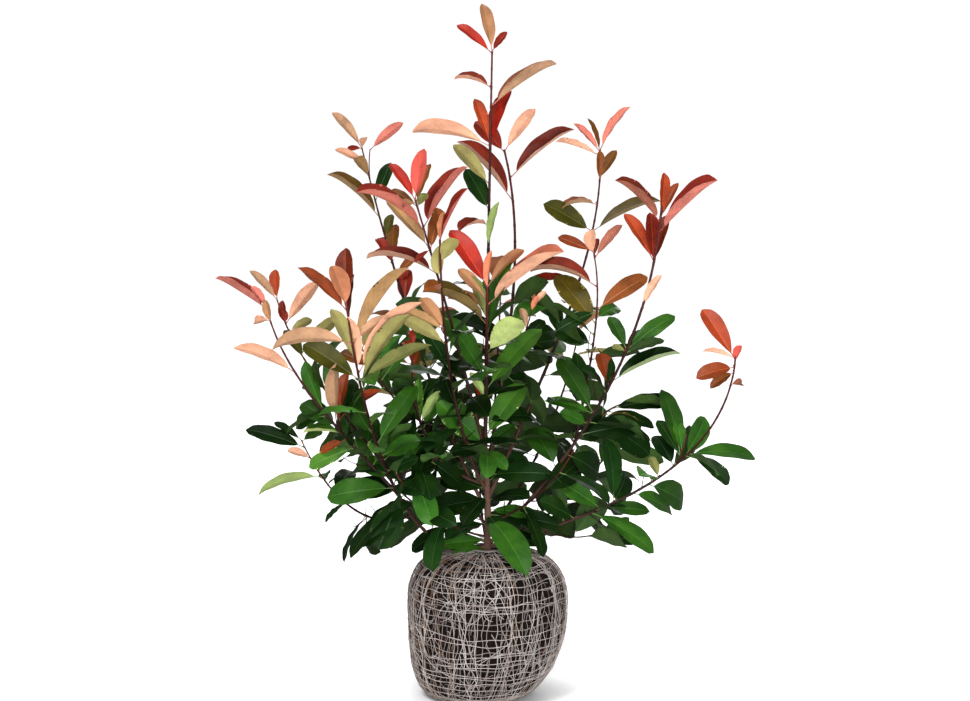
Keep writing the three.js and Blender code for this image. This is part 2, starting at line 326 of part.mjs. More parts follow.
// The leaves that the seeded rule sets on a shoot.
function filling(name) {
  const rows = [];
  for (const [from, to, count, bearing, seed] of FILLING[name] ?? []) {
    const next = seeded(seed * 7919 + 13);
    for (let i = 0; i < count; i++) {
      const t = (i + 0.5) / count;
      const u = to + (from - to) * t + ((next() - 0.5) * 0.6 * (to - from)) / count;
      const a = bearing + i * TURN + (next() - 0.5) * 50;
      const lean = 60 + 34 * t + (next() - 0.5) * 32;
      const length = 84 + 16 * Math.min(1, 2 * t) + (next() - 0.5) * 26;
      const roll = (next() - 0.5) * 70;
      const arch = 15 + next() * 30;
      next(); // its tint
      rows.push([Math.min(1, Math.max(0.02, u)), a, lean, length, roll, arch, true]);
    }
  }
  return rows;
}
// A mass: the leafy twigs of its shoots with their leaves.
function massSolids(shoots, grown) {
  const pieces = [];
  for (const name of shoots) {
    const [from, , , , , , length, , , , leafy] = LIMBS[name], line = lines[name], start = from ? Math.min(leafy, 0.97) : 0.5;
    const twig = (u) => (from ? SPRAY_CORE * (1 - 0.45 * Math.max(0, (u - 0.6) / 0.4)) : 15);
    const end = line[LIMB_STEPS].clone().addScaledVector(along(line, 1), 5);
    pieces.push(bentRod(from ? [...line, end] : line, start, from ? 1 : 0.97, twig, Math.max(2, Math.round((length * (1 - start)) / 100)), 4, grown));
    const leading = LEADING[name] ?? [];
    // a shoot with leading leaves needs few more to be full
    const more = filling(name).filter((_, i) => i % (leading.length ? LEAF_THIN : LEAF_THIN_BACK) > 0 === !leading.length);
    for (const leaf of [...leading, ...more])
      if (leaf[3] >= LEAF_LEAST && leaf[0] >= start - 0.02) pieces.push(leafSolid(line, leaf, grown));
  }
  return pieces.reduce((a, b) => a.add(b));
}

// ---------- the plant, from the floor up ----------
const taken = [];
function place(name, exact, grown, look) {
  let s = exact;
  const box = boxOf(s);
  for (const t of taken) if (near(box, t.box)) s = s.subtract(t.grown);
  keep(name, largest(s), look);
  taken.push({ grown, box: boxOf(grown) });
}
place("root_ball", rootBall(0), rootBall(GAP), SOIL);
for (const [name, [from, where, bearing0, lean0, bearing1, lean1, length, bend]] of Object.entries(LIMBS)) {
  const foot = from ? at(lines[from], where) : V(0, 0, BALL_HEIGHT + GAP);
  lines[name] = centreLine(foot, bearing0, lean0, bearing1, lean1, length, bend);
  if (LIMBS[name][11]) place(LIMBS[name][11], limbSolid(name, 0), limbSolid(name, GAP), BARK);
}
for (const [name, shoots, look] of MASSES) place(name, massSolids(shoots, 0), massSolids(shoots, GAP), look);

export default parts;
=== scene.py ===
"""Looks of a young red-leaved photinia on its netted root ball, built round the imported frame.

The limbs, the bearings of the leading leaves and the seeded rule that fills each shoot repeat those of the construction,
so every leaf grows where the solid masses have a lobe. Sizes here are millimetres and are scaled to metres in Pile.build.
"""
import math

import bpy
import numpy as np
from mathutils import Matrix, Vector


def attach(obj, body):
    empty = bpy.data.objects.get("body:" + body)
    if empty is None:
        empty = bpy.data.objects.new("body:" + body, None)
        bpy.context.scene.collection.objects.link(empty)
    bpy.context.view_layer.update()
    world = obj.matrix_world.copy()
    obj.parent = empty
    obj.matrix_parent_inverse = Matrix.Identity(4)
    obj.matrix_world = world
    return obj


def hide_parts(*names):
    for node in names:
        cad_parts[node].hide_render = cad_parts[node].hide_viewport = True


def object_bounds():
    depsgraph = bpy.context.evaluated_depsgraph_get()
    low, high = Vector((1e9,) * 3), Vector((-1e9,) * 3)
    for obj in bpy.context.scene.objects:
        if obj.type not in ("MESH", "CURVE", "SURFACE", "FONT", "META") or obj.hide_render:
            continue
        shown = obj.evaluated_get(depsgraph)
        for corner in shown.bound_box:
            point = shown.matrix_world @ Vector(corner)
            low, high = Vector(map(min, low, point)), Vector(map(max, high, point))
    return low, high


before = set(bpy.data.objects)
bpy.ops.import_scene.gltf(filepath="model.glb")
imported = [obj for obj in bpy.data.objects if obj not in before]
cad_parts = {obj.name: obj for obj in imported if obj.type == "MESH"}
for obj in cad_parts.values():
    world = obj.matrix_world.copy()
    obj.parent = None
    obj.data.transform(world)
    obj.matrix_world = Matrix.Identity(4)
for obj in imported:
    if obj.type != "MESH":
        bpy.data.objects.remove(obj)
cad_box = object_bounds()
MM = 0.001
FURTHEST = [[x / 0.001 - 12 for x in cad_box[0]], [x / 0.001 + 12 for x in cad_box[1]]]  # how far a leaf may reach, in mm
PI = math.pi

# ------------------------------------------------------------------ the plant's sizes, as in the construction
GROUND = 243.3
LIMB_STEPS = 16
TURN = 137.508
BALL_HEIGHT, BALL_RADIUS, BALL_WIDEST, BALL_SOLE, BALL_SAG, BALL_DEPTH = 243.0, 131.0, 0.66, 56.0, -17.0, 0.96
FLARE, FLARE_REACH = 0.5, 11.0

# limb: what it grows from, where on that, bearing and lean at foot, then at tip, length, bend, radius at foot and tip
LIMBS = {
    "trunk": (None, 0, -23.6, 3.6, -163.5, 4.6, 167, 0.74, 5.2, 4.2),
    "front": ("trunk", 1, -85.8, 14.4, -90.6, 15.2, 283, 3, 3.4, 2.2),
    "top": ("trunk", 0.98, 62.3, 1.9, 19.5, 1.3, 653, 2, 3.4, 1.5),
    "topright": ("trunk", 0.75, 47.4, 14.7, 141.6, 17.6, 546, 2.46, 3.4, 1.7),
    "redleft": ("trunk", 0.95, -142.3, 13.1, -150.8, 18.4, 440, 0.3, 3, 1.4),
    "nearleft": ("trunk", 0.58, -158.2, 44.9, -90.8, 18.9, 458, 0.3, 3, 1.5),
    "upleft": ("trunk", 0.38, 159.3, 39.7, 138.5, 18.7, 649, 0.3, 3.2, 1.2),
    "young": ("trunk", 0.66, 172.8, 86.8, -67.3, 14.6, 293, 0.58, 2.7, 1.5),
    "left": ("trunk", 0.045, -179, 135.4, -112.5, 16.6, 538, 0.3, 3.1, 1.5),
    "farleft": ("left", 0.375, 177.3, 42.8, 172.3, 12.4, 377, 2.73, 2.7, 1.3),
    "farleftback": ("left", 0.48, 144.3, 47.9, 126.1, 28.7, 351, 3, 2.3, 1.1),
    "peach": ("farleft", 0.365, -138.9, 24.1, -86.5, 16.1, 118, 0.35, 1.7, 1.1),
    "leftinner": ("upleft", 0.245, 178, 134.3, -170.2, 27.2, 205, 0.3, 2.2, 1.2),
    "upright": ("trunk", 0.5, 32.4, 29.1, 97.5, 13.8, 629, 3, 3.2, 1.3),
    "right": ("trunk", 0.04, -7.5, 43.4, -73.4, 10.4, 647, 1.34, 3.1, 1.7),
    "rightinner": ("right", 0.355, 53.4, 19.5, 130.3, 20.1, 327, 3, 2.2, 1.1),
    "farright": ("trunk", 0.03, -2.8, 72.9, -92.6, 22.1, 574, 1.91, 2.7, 1.4),
    "lowleft": ("left", 0.295, 170.4, 127.1, 141.8, 32.8, 256, 0.51, 2.2, 1.1),
    "bud": ("topright", 0.285, 17.5, 51.2, 51.2, 19.7, 166, 0.3, 1.5, 0.9),
    "lowright": ("farright", 0.16, 28.4, 109.2, 32, 70.2, 131, 1.68, 1.6, 0.9),
    "midright": ("right", 0.37, 51.1, 65, 42.3, 85.6, 127, 3, 2, 1.1),
    "farrighttwig": ("farright", 0.605, -20.5, 20.6, -53.8, 9.1, 51, 2.98, 1.5, 0.9),
    "across": ("left", 0.435, 6, 78, 8.3, 63.2, 97, 0.3, 1.7, 0.9),
    "fork": ("upleft", 0.915, 103.2, 25.4, 77.9, 23.6, 54, 1.08, 1.1, 0.8),
    "back": ("trunk", 0.3, 85, 42, 80, 16, 430, 1, 2.9, 1.1),
    "backright": ("trunk", 0.16, 48, 54, 60, 20, 450, 1, 2.8, 1),
    "backleft": ("trunk", 0.22, 128, 54, 116, 20, 450, 1, 2.8, 1),
    "backlowright": ("trunk", 0.07, 38, 84, 46, 46, 330, 1, 2.5, 1),
    "backlowleft": ("trunk", 0.08, 142, 84, 134, 46, 320, 1, 2.5, 1),
    "backlow": ("trunk", 0.06, 96, 80, 88, 34, 310, 1, 2.5, 1),
    "frontlowright": ("trunk", 0.26, -30, 68, -46, 34, 225, 1, 2.1, 0.9),
    "frontlowleft": ("trunk", 0.13, -146, 76, -138, 34, 235, 1, 2.1, 0.9),
}

# leading leaves of a shoot: place on it, bearing, lean from the shoot, length, roll, arch, width against length, fold of each half, tint
LEADING = {
    "top": [(1, -120, 25, 83, 1, 15, 0.3, 24, "B"), (1, 26, 38, 42, 45, 10, 0.39, 28, "M"), (0.995, 161, 53, 77, -36, 10, 0.3, 28, "R"),
        (0.91, 164, 77, 65, -13, 42, 0.56, 40, "N"), (0.865, 17, 56, 132, -5, 14, 0.5, 40, "S"), (0.775, 142, 25, 79, -29, 4, 0.31, 28, "O"),
        (0.765, -162, 80, 136, 38, 50, 0.3, 26, "S"), (0.755, 41, 23, 108, 1, 20, 0.3, 28, "R"), (0.755, 60, 17, 97, -37, 15, 0.3, 28, "R"),
        (0.67, -156, 45, 92, 43, 20, 0.3, 18, "V"), (0.605, 151, 33, 82, -38, 20, 0.41, 11, "D"), (0.57, -142, 99, 62, -7, 55, 0.56, 40, "N"),
        (0.51, -56, 18, 83, 21, 20, 0.3, 14, "L")],
    "topright": [(0.995, -26, 52, 89, -39, 15, 0.3, 26, "S"), (0.99, 162, 31, 76, -55, 10, 0.51, 28, "M"), (0.91, 2, 60, 137, 31, 18, 0.39, 40, "N"),
        (0.84, 176, 36, 138, -21, 15, 0.48, 40, "N")],
    "front": [(1, 132, 49, 116, -17, 15, 0.35, 28, "R"), (1, -9, 41, 89, -61, 30, 0.3, 24, "B"), (0.98, -4, 5, 68, -5, 10, 0.3, 28, "O"),
        (0.92, -172, 40, 73, 72, 20, 0.33, 24, "B"), (0.89, -24, 49, 169, 3, 12, 0.48, 40, "S"), (0.79, 180, 17, 83, 63, 15, 0.3, 18, "V"),
        (0.77, -169, 58, 123, 4, 42, 0.56, 40, "W"), (0.68, 1, 15, 137, 23, 20, 0.3, 13, "G"), (0.6, -32, 41, 94, -55, 20, 0.48, 14, "L"),
        (0.435, 136, 48, 129, -18, 20, 0.32, 13, "G"), (0.375, 38, 53, 140, 13, 25, 0.3, 14, "L"), (0.31, 173, 29, 55, 71, 20, 0.3, 14, "L"),
        (0.28, 128, 45, 38, -11, 10, 0.38, 28, "M"), (0.08, 42, 48, 112, 19, 22, 0.4, 14, "L"), (0.03, 179, 47, 109, -47, 22, 0.48, 14, "L"),
        (0.03, 130, 45, 48, -13, 20, 0.35, 14, "L"), (0.03, 28, 64, 61, 31, 20, 0.37, 13, "G"), (0, -88, 105, 73, -23, 40, 0.46, 14, "L"),
        (0, -50, 106, 58, 20, 40, 0.45, 14, "L")],
    "upleft": [(1, -140, 33, 79, 11, 20, 0.3, 26, "S"), (1, 152, 75, 30, -70, 10, 0.42, 28, "M"), (1, -72, 75, 37, -4, 10, 0.44, 26, "S"),
        (0.955, -160, 53, 59, 34, 30, 0.3, 26, "S"), (0.92, -106, 52, 51, 6, 20, 0.54, 42, "W"), (0.855, -6, 36, 71, 76, 15, 0.34, 11, "D"),
        (0.81, -176, 34, 116, -25, 25, 0.44, 40, "W"), (0.755, 15, 30, 44, 56, 15, 0.43, 18, "V"), (0.71, 16, 27, 55, 54, 15, 0.49, 28, "O"),
        (0.71, 114, 41, 51, -5, 15, 0.48, 28, "M"), (0.69, -8, 19, 64, 75, 10, 0.37, 24, "B"), (0.685, -171, 14, 51, -75, 20, 0.42, 30, "P"),
        (0.655, 2, 63, 50, 71, 20, 0.36, 24, "B"), (0.58, 37, 27, 62, 34, 10, 0.5, 28, "M")],
    "fork": [(0.995, -19, 49, 73, -33, 15, 0.32, 30, "P")],
    "redleft": [(1, -21, 27, 89, -45, 12, 0.32, 28, "R"), (1, 125, 34, 76, 3, 15, 0.3, 28, "R"), (0.99, 42, 46, 71, 13, 10, 0.3, 24, "B"),
        (0.99, -117, 80, 40, 69, 30, 0.54, 42, "W"), (0.975, -42, 56, 37, -44, 10, 0.42, 18, "V"), (0.975, 148, 49, 53, -30, 20, 0.3, 24, "B"),
        (0.895, 32, 58, 127, -12, 10, 0.56, 40, "P"), (0.88, -157, 42, 134, -11, 38, 0.53, 40, "P"), (0.815, -154, 26, 109, 45, 15, 0.3, 42, "W"),
        (0.81, -152, 106, 34, -45, 10, 0.3, 28, "M"), (0.805, 48, 41, 74, 21, 10, 0.35, 24, "B"), (0.715, 161, 66, 123, 6, 46, 0.45, 40, "N")],
    "nearleft": [(1, 96, 44, 55, 21, 10, 0.47, 24, "B"), (1, -9, 26, 98, 14, 12, 0.32, 40, "M"), (0.99, -9, 8, 53, -10, 10, 0.3, 28, "O"),
        (0.99, -165, 177, 53, 8, 40, 0.43, 18, "V"), (0.91, -33, 31, 58, -48, 30, 0.46, 18, "V"), (0.835, -120, 79, 51, -39, 25, 0.47, 24, "B"),
        (0.66, -168, 54, 76, 80, 25, 0.32, 42, "W"), (0.66, -178, 29, 69, 77, 20, 0.38, 24, "B"), (0.605, -170, 48, 87, 79, 30, 0.31, 18, "V"),
        (0.5, 121, 47, 82, -2, 25, 0.36, 11, "D")],
    "left": [(1, 84, 41, 102, -14, 10, 0.36, 28, "M"), (1, -150, 10, 76, 44, 20, 0.46, 28, "O"), (0.99, 140, 56, 112, 3, 15, 0.3, 28, "O"),
        (0.955, 76, 43, 82, -34, 10, 0.3, 28, "M"), (0.895, -8, 61, 77, -64, 20, 0.3, 26, "S"), (0.885, -152, 76, 139, 58, 60, 0.3, 26, "S"),
        (0.88, -6, 41, 164, -35, 18, 0.3, 42, "W"), (0.825, -166, 12, 102, 56, 25, 0.3, 18, "V"), (0.795, 4, 2, 97, -43, 15, 0.3, 26, "S"),
        (0.79, -4, 48, 163, -43, 30, 0.3, 26, "S"), (0.77, 146, 60, 114, -23, 20, 0.37, 18, "V"), (0.765, -8, 68, 137, -49, 25, 0.3, 18, "V"),
        (0.76, -2, 43, 145, -43, 25, 0.3, 18, "V"), (0.555, 42, 66, 122, 27, 25, 0.31, 13, "G"), (0.545, -94, 69, 66, -42, 25, 0.46, 14, "L"),
        (0.515, -8, 79, 73, 42, 25, 0.46, 13, "G"), (0.46, -20, 75, 66, 43, 25, 0.45, 11, "D"), (0.43, 127, 71, 80, -6, 30, 0.47, 13, "G"),
        (0.4, 172, 80, 117, -33, 25, 0.41, 13, "G"), (0.365, -134, 112, 96, -50, 30, 0.54, 11, "D"), (0.35, -144, 95, 130, -6, 25, 0.3, 11, "D")],
    "young": [(1, 106, 60, 33, 8, 10, 0.43, 28, "R"), (0.975, 116, 89, 37, -23, 15, 0.45, 28, "R"), (0.96, 70, 89, 30, 20, 10, 0.42, 28, "R"),
        (0.88, 95, 69, 40, 21, 10, 0.46, 28, "O"), (0.795, 68, 37, 52, -1, 10, 0.34, 24, "B"), (0.535, 114, 30, 89, 7, 20, 0.42, 13, "G"),
        (0.535, 2, 47, 65, -60, 20, 0.3, 14, "L"), (0.53, 64, 33, 79, -2, 20, 0.3, 14, "L"), (0.5, 33, 56, 85, 35, 20, 0.39, 13, "G"),
        (0.48, -54, 118, 51, 10, 35, 0.44, 13, "G"), (0.47, 174, 83, 79, -47, 35, 0.38, 13, "G"), (0.46, -128, 94, 80, -38, 35, 0.47, 13, "G")],
    "farleft": [(0.995, -134, 27, 43, 28, 15, 0.39, 30, "P"), (0.985, 162, 46, 101, 9, 5, 0.56, 40, "P"),
        (0.935, -128, 81, 37, 58, 15, 0.53, 42, "N"), (0.92, -70, 17, 41, 13, 10, 0.39, 24, "B"), (0.685, -147, 39, 114, 16, 30, 0.3, 26, "S"),
        (0.475, 45, 24, 93, 22, 20, 0.3, 13, "G"), (0.39, 130, 32, 80, -3, 20, 0.47, 13, "G"), (0.36, 168, 50, 65, -3, 20, 0.56, 40, "L"),
        (0.325, 172, 77, 51, -58, 25, 0.32, 28, "O"), (0.28, 74, 58, 94, 7, 20, 0.47, 13, "G"), (0.275, 172, 72, 85, -56, 25, 0.35, 14, "L"),
        (0.19, 50, 59, 94, 30, 20, 0.47, 13, "G"), (0.165, 18, 81, 77, 59, 25, 0.44, 14, "L")],
    "farleftback": [(1, -39, 18, 52, 108, 10, 0.43, 28, "O"), (1, -124, 40, 68, 0, 15, 0.3, 26, "S"), (0.97, -79, 155, 40, -20, 10, 0.46, 28, "M"),
        (0.87, -26, 68, 89, -33, 20, 0.3, 26, "S"), (0.87, -38, 18, 41, 106, 20, 0.4, 28, "M"), (0.825, -18, 90, 44, -42, 20, 0.43, 18, "V"),
        (0.7, -23, 82, 88, -39, 25, 0.3, 18, "V"), (0.67, -100, 11, 60, -138, 30, 0.38, 18, "V"), (0.415, -18, 35, 77, 84, 20, 0.39, 13, "G")],
    "peach": [(0.995, -86, 46, 22, 25, 10, 0.36, 26, "S"), (0.185, -68, 17, 118, 27, 15, 0.3, 26, "S"), (0.18, 34, 74, 89, 13, 25, 0.3, 28, "O"),
        (0.155, 68, 43, 85, -10, 18, 0.3, 28, "O"), (0.125, 58, 48, 71, 11, 20, 0.34, 11, "D"), (0.12, 115, 5, 80, -29, 18, 0.3, 28, "O")],
    "leftinner": [(1, 96, 43, 40, -25, 10, 0.46, 28, "M"), (0.99, -4, 55, 51, -64, 20, 0.45, 18, "V"), (0.825, 161, 40, 59, -35, 20, 0.44, 24, "B"),
        (0.685, 18, 77, 113, 41, 25, 0.3, 13, "G"), (0.515, 54, 23, 71, 11, 20, 0.37, 13, "G"), (0.37, -1, 94, 77, 55, 20, 0.44, 11, "D")],
    "upright": [(1, -32, 39, 90, -4, 25, 0.3, 30, "P"), (0.995, -148, 24, 61, -66, 15, 0.3, 24, "B"), (0.995, -167, 44, 66, 22, 15, 0.3, 30, "P"),
        (0.985, -178, 72, 79, 20, 20, 0.3, 42, "N"), (0.92, -20, 28, 57, 85, 20, 0.35, 24, "B"), (0.915, -108, 11, 52, -139, 10, 0.34, 24, "B"),
        (0.85, -166, 106, 62, -17, 48, 0.56, 40, "S"), (0.775, -172, 73, 95, -79, 20, 0.4, 18, "V"), (0.775, -4, 53, 127, 32, 22, 0.39, 40, "W"),
        (0.635, -175, 107, 83, -47, 25, 0.3, 28, "M"), (0.475, 154, 36, 66, -48, 25, 0.45, 11, "D"), (0.465, -130, 118, 73, -45, 25, 0.46, 11, "D")],
    "rightinner": [(0.98, 171, 55, 65, -72, 15, 0.32, 28, "O"), (0.965, -90, 53, 55, 23, 10, 0.48, 26, "S"),
        (0.955, 20, 22, 33, 46, 10, 0.43, 28, "M"), (0.945, -30, 54, 74, -34, 20, 0.3, 30, "P"), (0.795, 170, 73, 117, -27, 50, 0.53, 40, "N"),
        (0.68, 4, 52, 103, 70, 25, 0.33, 24, "B"), (0.67, -173, 120, 75, -69, 25, 0.34, 11, "D"), (0.635, 51, 60, 66, 43, 25, 0.46, 13, "G"),
        (0.605, 156, 44, 115, -56, 15, 0.4, 18, "V"), (0.495, 146, 72, 80, -65, 25, 0.46, 11, "D"), (0.47, -94, 104, 44, 24, 35, 0.43, 18, "V"),
        (0.19, 170, 33, 90, -61, 20, 0.45, 13, "G"), (0.17, 165, 17, 96, -54, 25, 0.31, 11, "D")],
    "right": [(0.975, 86, 31, 75, 35, 10, 0.3, 28, "O"), (0.97, 52, 37, 68, -1, 15, 0.3, 28, "O"), (0.96, -168, 50, 104, -9, 20, 0.56, 40, "P"),
        (0.935, -27, 39, 132, 17, 8, 0.56, 40, "P"), (0.86, 140, 51, 96, -19, 15, 0.3, 28, "O"), (0.855, 112, 33, 87, -2, 10, 0.33, 28, "M"),
        (0.855, 76, 30, 87, -22, 10, 0.3, 28, "M"), (0.735, -39, 13, 68, -15, 15, 0.3, 26, "S"), (0.625, 146, 57, 64, -38, 22, 0.38, 13, "G"),
        (0.625, 32, 42, 101, 22, 25, 0.3, 13, "G"), (0.62, -154, 83, 30, 75, 30, 0.39, 18, "V"), (0.615, -21, 46, 71, -44, 25, 0.3, 11, "D"),
        (0.535, 22, 47, 126, -13, 20, 0.45, 40, "K"), (0.52, 126, 60, 69, -23, 15, 0.51, 28, "O"), (0.51, 122, 33, 55, 0, 15, 0.3, 11, "D"),
        (0.44, 154, 68, 112, -45, 25, 0.33, 13, "G"), (0.44, -172, 101, 85, -25, 25, 0.3, 13, "G"), (0.41, -157, 90, 58, -49, 25, 0.45, 13, "G"),
        (0.375, 14, 53, 106, 37, 30, 0.45, 11, "D"), (0.315, 32, 96, 95, 52, 35, 0.51, 11, "D"), (0.27, 138, 80, 95, -44, 30, 0.54, 13, "G")],
    "farright": [(0.98, -172, 75, 56, 56, 15, 0.3, 42, "N"), (0.975, 124, 59, 102, -15, 8, 0.34, 28, "O"),
        (0.965, -62, 13, 37, -18, 15, 0.45, 28, "R"), (0.95, -158, 100, 67, -30, 40, 0.46, 28, "O"), (0.935, -146, 116, 48, -19, 30, 0.42, 24, "B"),
        (0.895, -66, 58, 37, -62, 50, 0.46, 30, "P"), (0.65, -4, 87, 87, 46, 40, 0.34, 30, "K"), (0.64, 8, 55, 119, 9, 45, 0.3, 13, "G"),
        (0.635, 110, 44, 80, -1, 20, 0.47, 13, "G"), (0.59, 140, 91, 73, -48, 25, 0.46, 11, "D"), (0.535, 178, 74, 40, 71, 20, 0.43, 18, "V"),
        (0.5, 20, 77, 95, 33, 30, 0.53, 13, "G"), (0.385, 126, 66, 80, -20, 35, 0.46, 11, "D"), (0.365, 17, 32, 37, 13, 30, 0.4, 11, "D"),
        (0.345, 6, 32, 84, 29, 30, 0.31, 13, "G"), (0.345, 180, 120, 81, -47, 25, 0.46, 13, "G"), (0.315, -1, 57, 128, 36, 35, 0.3, 13, "G"),
        (0.265, -173, 122, 73, -36, 25, 0.46, 11, "D")],
    "farrighttwig": [(0.415, 130, 41, 57, -22, 20, 0.39, 13, "G"), (0.26, 136, 45, 118, -22, 30, 0.3, 13, "G"),
        (0.235, 146, 59, 73, -38, 25, 0.31, 11, "D")],
    "midright": [(0.735, -8, 41, 111, 115, 35, 0.3, 11, "D"), (0.67, 27, 57, 85, 97, 30, 0.3, 11, "D"), (0.61, 36, 168, 73, 76, 30, 0.46, 11, "D"),
        (0.6, 30, 63, 69, 107, 30, 0.45, 18, "V"), (0.41, 32, 71, 108, 105, 35, 0.45, 11, "D")],
    "lowright": [(0.91, -122, 37, 56, -150, 25, 0.4, 13, "G"), (0.875, 18, 39, 66, 105, 30, 0.34, 11, "D")],
    "lowleft": [(1, -176, 30, 56, -65, 20, 0.3, 11, "D"), (0.995, 28, 80, 44, 75, 20, 0.42, 13, "G"), (0.945, 178, 45, 106, -68, 25, 0.3, 11, "D"),
        (0.865, -150, 49, 42, 32, 20, 0.52, 42, "N"), (0.715, -166, 75, 114, 8, 50, 0.3, 14, "L"), (0.68, 86, 60, 51, 19, 25, 0.44, 13, "G"),
        (0.6, -10, 131, 99, 76, 20, 0.41, 11, "D"), (0.585, 42, 70, 73, 69, 25, 0.46, 11, "D"), (0.48, 162, 78, 48, -53, 30, 0.3, 11, "D"),
        (0.315, 169, 92, 87, -40, 30, 0.3, 11, "D")],
    "trunk": [(0.75, -14, 89, 110, 53, 25, 0.34, 11, "D"), (0.7, 64, 69, 80, 17, 25, 0.46, 11, "D"), (0.6, 156, 79, 87, -48, 30, 0.47, 11, "D"),
        (0.55, -134, 123, 73, -26, 30, 0.46, 11, "D"), (0.5, -164, 95, 98, -51, 30, 0.45, 11, "D"), (0.4, -15, 95, 89, 42, 30, 0.3, 13, "G"),
        (0.35, -66, 112, 78, 11, 30, 0.43, 11, "D"), (0.35, -16, 95, 123, 51, 30, 0.3, 11, "D"), (0.32, -67, 111, 170, 11, 40, 0.31, 13, "G"),
        (0.145, -15, 95, 93, 43, 35, 0.3, 11, "D"), (0.095, -166, 95, 84, -50, 30, 0.31, 13, "G"), (0.015, -148, 104, 73, -42, 35, 0.46, 13, "G")],
    "across": [(1, 38, 35, 66, 6, 25, 0.45, 11, "D"), (0.73, 20, 68, 80, 51, 30, 0.46, 11, "D"), (0.525, -29, 96, 87, 60, 30, 0.47, 11, "D"),
        (0.345, 162, 22, 79, -27, 25, 0.42, 11, "D")],
    "bud": [(0.875, -143, 35, 33, 27, 10, 0.43, 28, "O"), (0.845, -36, 36, 32, -28, 15, 0.38, 26, "S"), (0.775, -77, 30, 30, 10, 10, 0.42, 28, "O"),
        (0.59, -146, 38, 37, 31, 10, 0.44, 26, "S"), (0.435, 23, 25, 58, 49, 25, 0.44, 11, "D"), (0.425, 43, 50, 80, 42, 25, 0.46, 11, "D")],
    "frontlowleft": [(0.32, -164, 74, 82, -20, 30, 0.34, 11, "D")],
    "frontlowright": [(0.34, -39, 90, 92, 12, 20, 0.3, 11, "D")],
}

# leaves that fill a shoot: from, to, how many, bearing of the topmost, seed, tints from the top down
FILLING = {
    "back": [(0.3, 1, 12, -117, 271, "OBVGD")],
    "backright": [(0.25, 1, 10, 135, 6459, "BVGGD")],
    "backleft": [(0.25, 1, 11, 101, 8411, "OBVGD")],
    "backlowright": [(0.3, 1, 15, -147, 6501, "GGDD")],
    "backlowleft": [(0.3, 1, 13, 85, 4519, "GGDD")],
    "backlow": [(0.3, 1, 9, 47, 5525, "GGDD")],
    "frontlowright": [(0.35, 1, 2, -56, 7895, "DD")],
    "frontlowleft": [(0.35, 1, 8, -27, 3169, "DD")],
    "trunk": [(0.25, 0.95, 7, 103, 961, "DD")],
    "front": [(0.05, 0.55, 2, -104, 3173, "GD")],
    "top": [(0.05, 0.42, 6, -174, 5708, "GD")],
    "topright": [(0.15, 0.62, 10, 19, 7970, "GD")],
    "redleft": [(0.12, 0.55, 9, 166, 684, "GD")],
    "nearleft": [(0.15, 0.6, 6, 51, 6754, "GD")],
    "upleft": [(0.15, 0.55, 16, -50, 1184, "GD")],
    "young": [(0.15, 0.65, 6, 80, 7922, "GD")],
    "left": [(0.3, 0.78, 11, -90, 8990, "GD")],
    "farleft": [(0.08, 0.5, 3, 145, 630, "GD")],
    "farleftback": [(0.1, 0.6, 9, -3, 9848, "GD")],
    "leftinner": [(0.05, 0.8, 7, 46, 4697, "GD")],
    "upright": [(0.15, 0.55, 11, 33, 4967, "GD")],
    "right": [(0.25, 0.66, 4, 72, 1913, "GD")],
    "rightinner": [(0.08, 0.6, 4, -166, 454, "GD")],
    "farright": [(0.2, 0.66, 8, -39, 2932, "GD")],
    "lowleft": [(0.2, 0.9, 2, 3, 9563, "GD")],
    "midright": [(0.2, 1, 5, -50, 7273, "GD")],
    "lowright": [(0.25, 1, 4, 113, 7819, "GD")],
    "across": [(0.1, 0.9, 4, 102, 4721, "GD")],
    "bud": [(0.05, 0.45, 5, -176, 4825, "GD")],
}

# foliage masses and the shoots whose leaves each gathers
MASSES = {
    "foliage_top": ["top"],
    "foliage_top_right": ["topright", "bud"],
    "foliage_front_middle": ["front"],
    "foliage_left_of_middle": ["redleft"],
    "foliage_front_left": ["nearleft"],
    "foliage_upper_left": ["upleft", "fork"],
    "foliage_young_front": ["young"],
    "foliage_left": ["left", "across"],
    "foliage_far_left": ["farleft", "peach"],
    "foliage_far_left_back": ["farleftback"],
    "foliage_left_inner": ["leftinner"],
    "foliage_upper_right": ["upright"],
    "foliage_right": ["right", "midright"],
    "foliage_right_inner": ["rightinner"],
    "foliage_far_right": ["farright", "farrighttwig"],
    "foliage_low_right": ["lowright"],
    "foliage_low_left": ["lowleft"],
    "foliage_front_low_right": ["frontlowright"],
    "foliage_front_low_left": ["frontlowleft"],
    "foliage_centre_low": ["trunk"],
    "foliage_back": ["back"],
    "foliage_back_right": ["backright"],
    "foliage_back_left": ["backleft"],
    "foliage_back_low_right": ["backlowright"],
    "foliage_back_low_left": ["backlowleft"],
    "foliage_back_low": ["backlow"],
}

# ------------------------------------------------------------------ the looks' own sizes
LEAF_STATIONS = 26  # along a blade
LEAF_STALK = 0.12  # share of a leaf that is its stalk
FILL_WIDTH = 0.42  # blade's width against the leaf's length, of the leaves that fill
LEAF_SKIN = 0.16  # half the blade's thickness
TOOTH = 0.12  # depth of the fine teeth on a blade's edge
THREAD = 0.54  # radius of the net's threads


def seeded(seed):
    """The construction's seeded row of numbers between 0 and 1."""
    a = seed & 0xFFFFFFFF

    def step():
        nonlocal a
        a = (a + 0x6D2B79F5) & 0xFFFFFFFF
        t = a
        t = ((t ^ (t >> 15)) * (t | 1)) & 0xFFFFFFFF
        t ^= (t + (((t ^ (t >> 7)) * (t | 61)) & 0xFFFFFFFF)) & 0xFFFFFFFF
        t &= 0xFFFFFFFF
        return ((t ^ (t >> 14)) & 0xFFFFFFFF) / 4294967296.0

    return step


def unit(v):
    return v / np.linalg.norm(v)


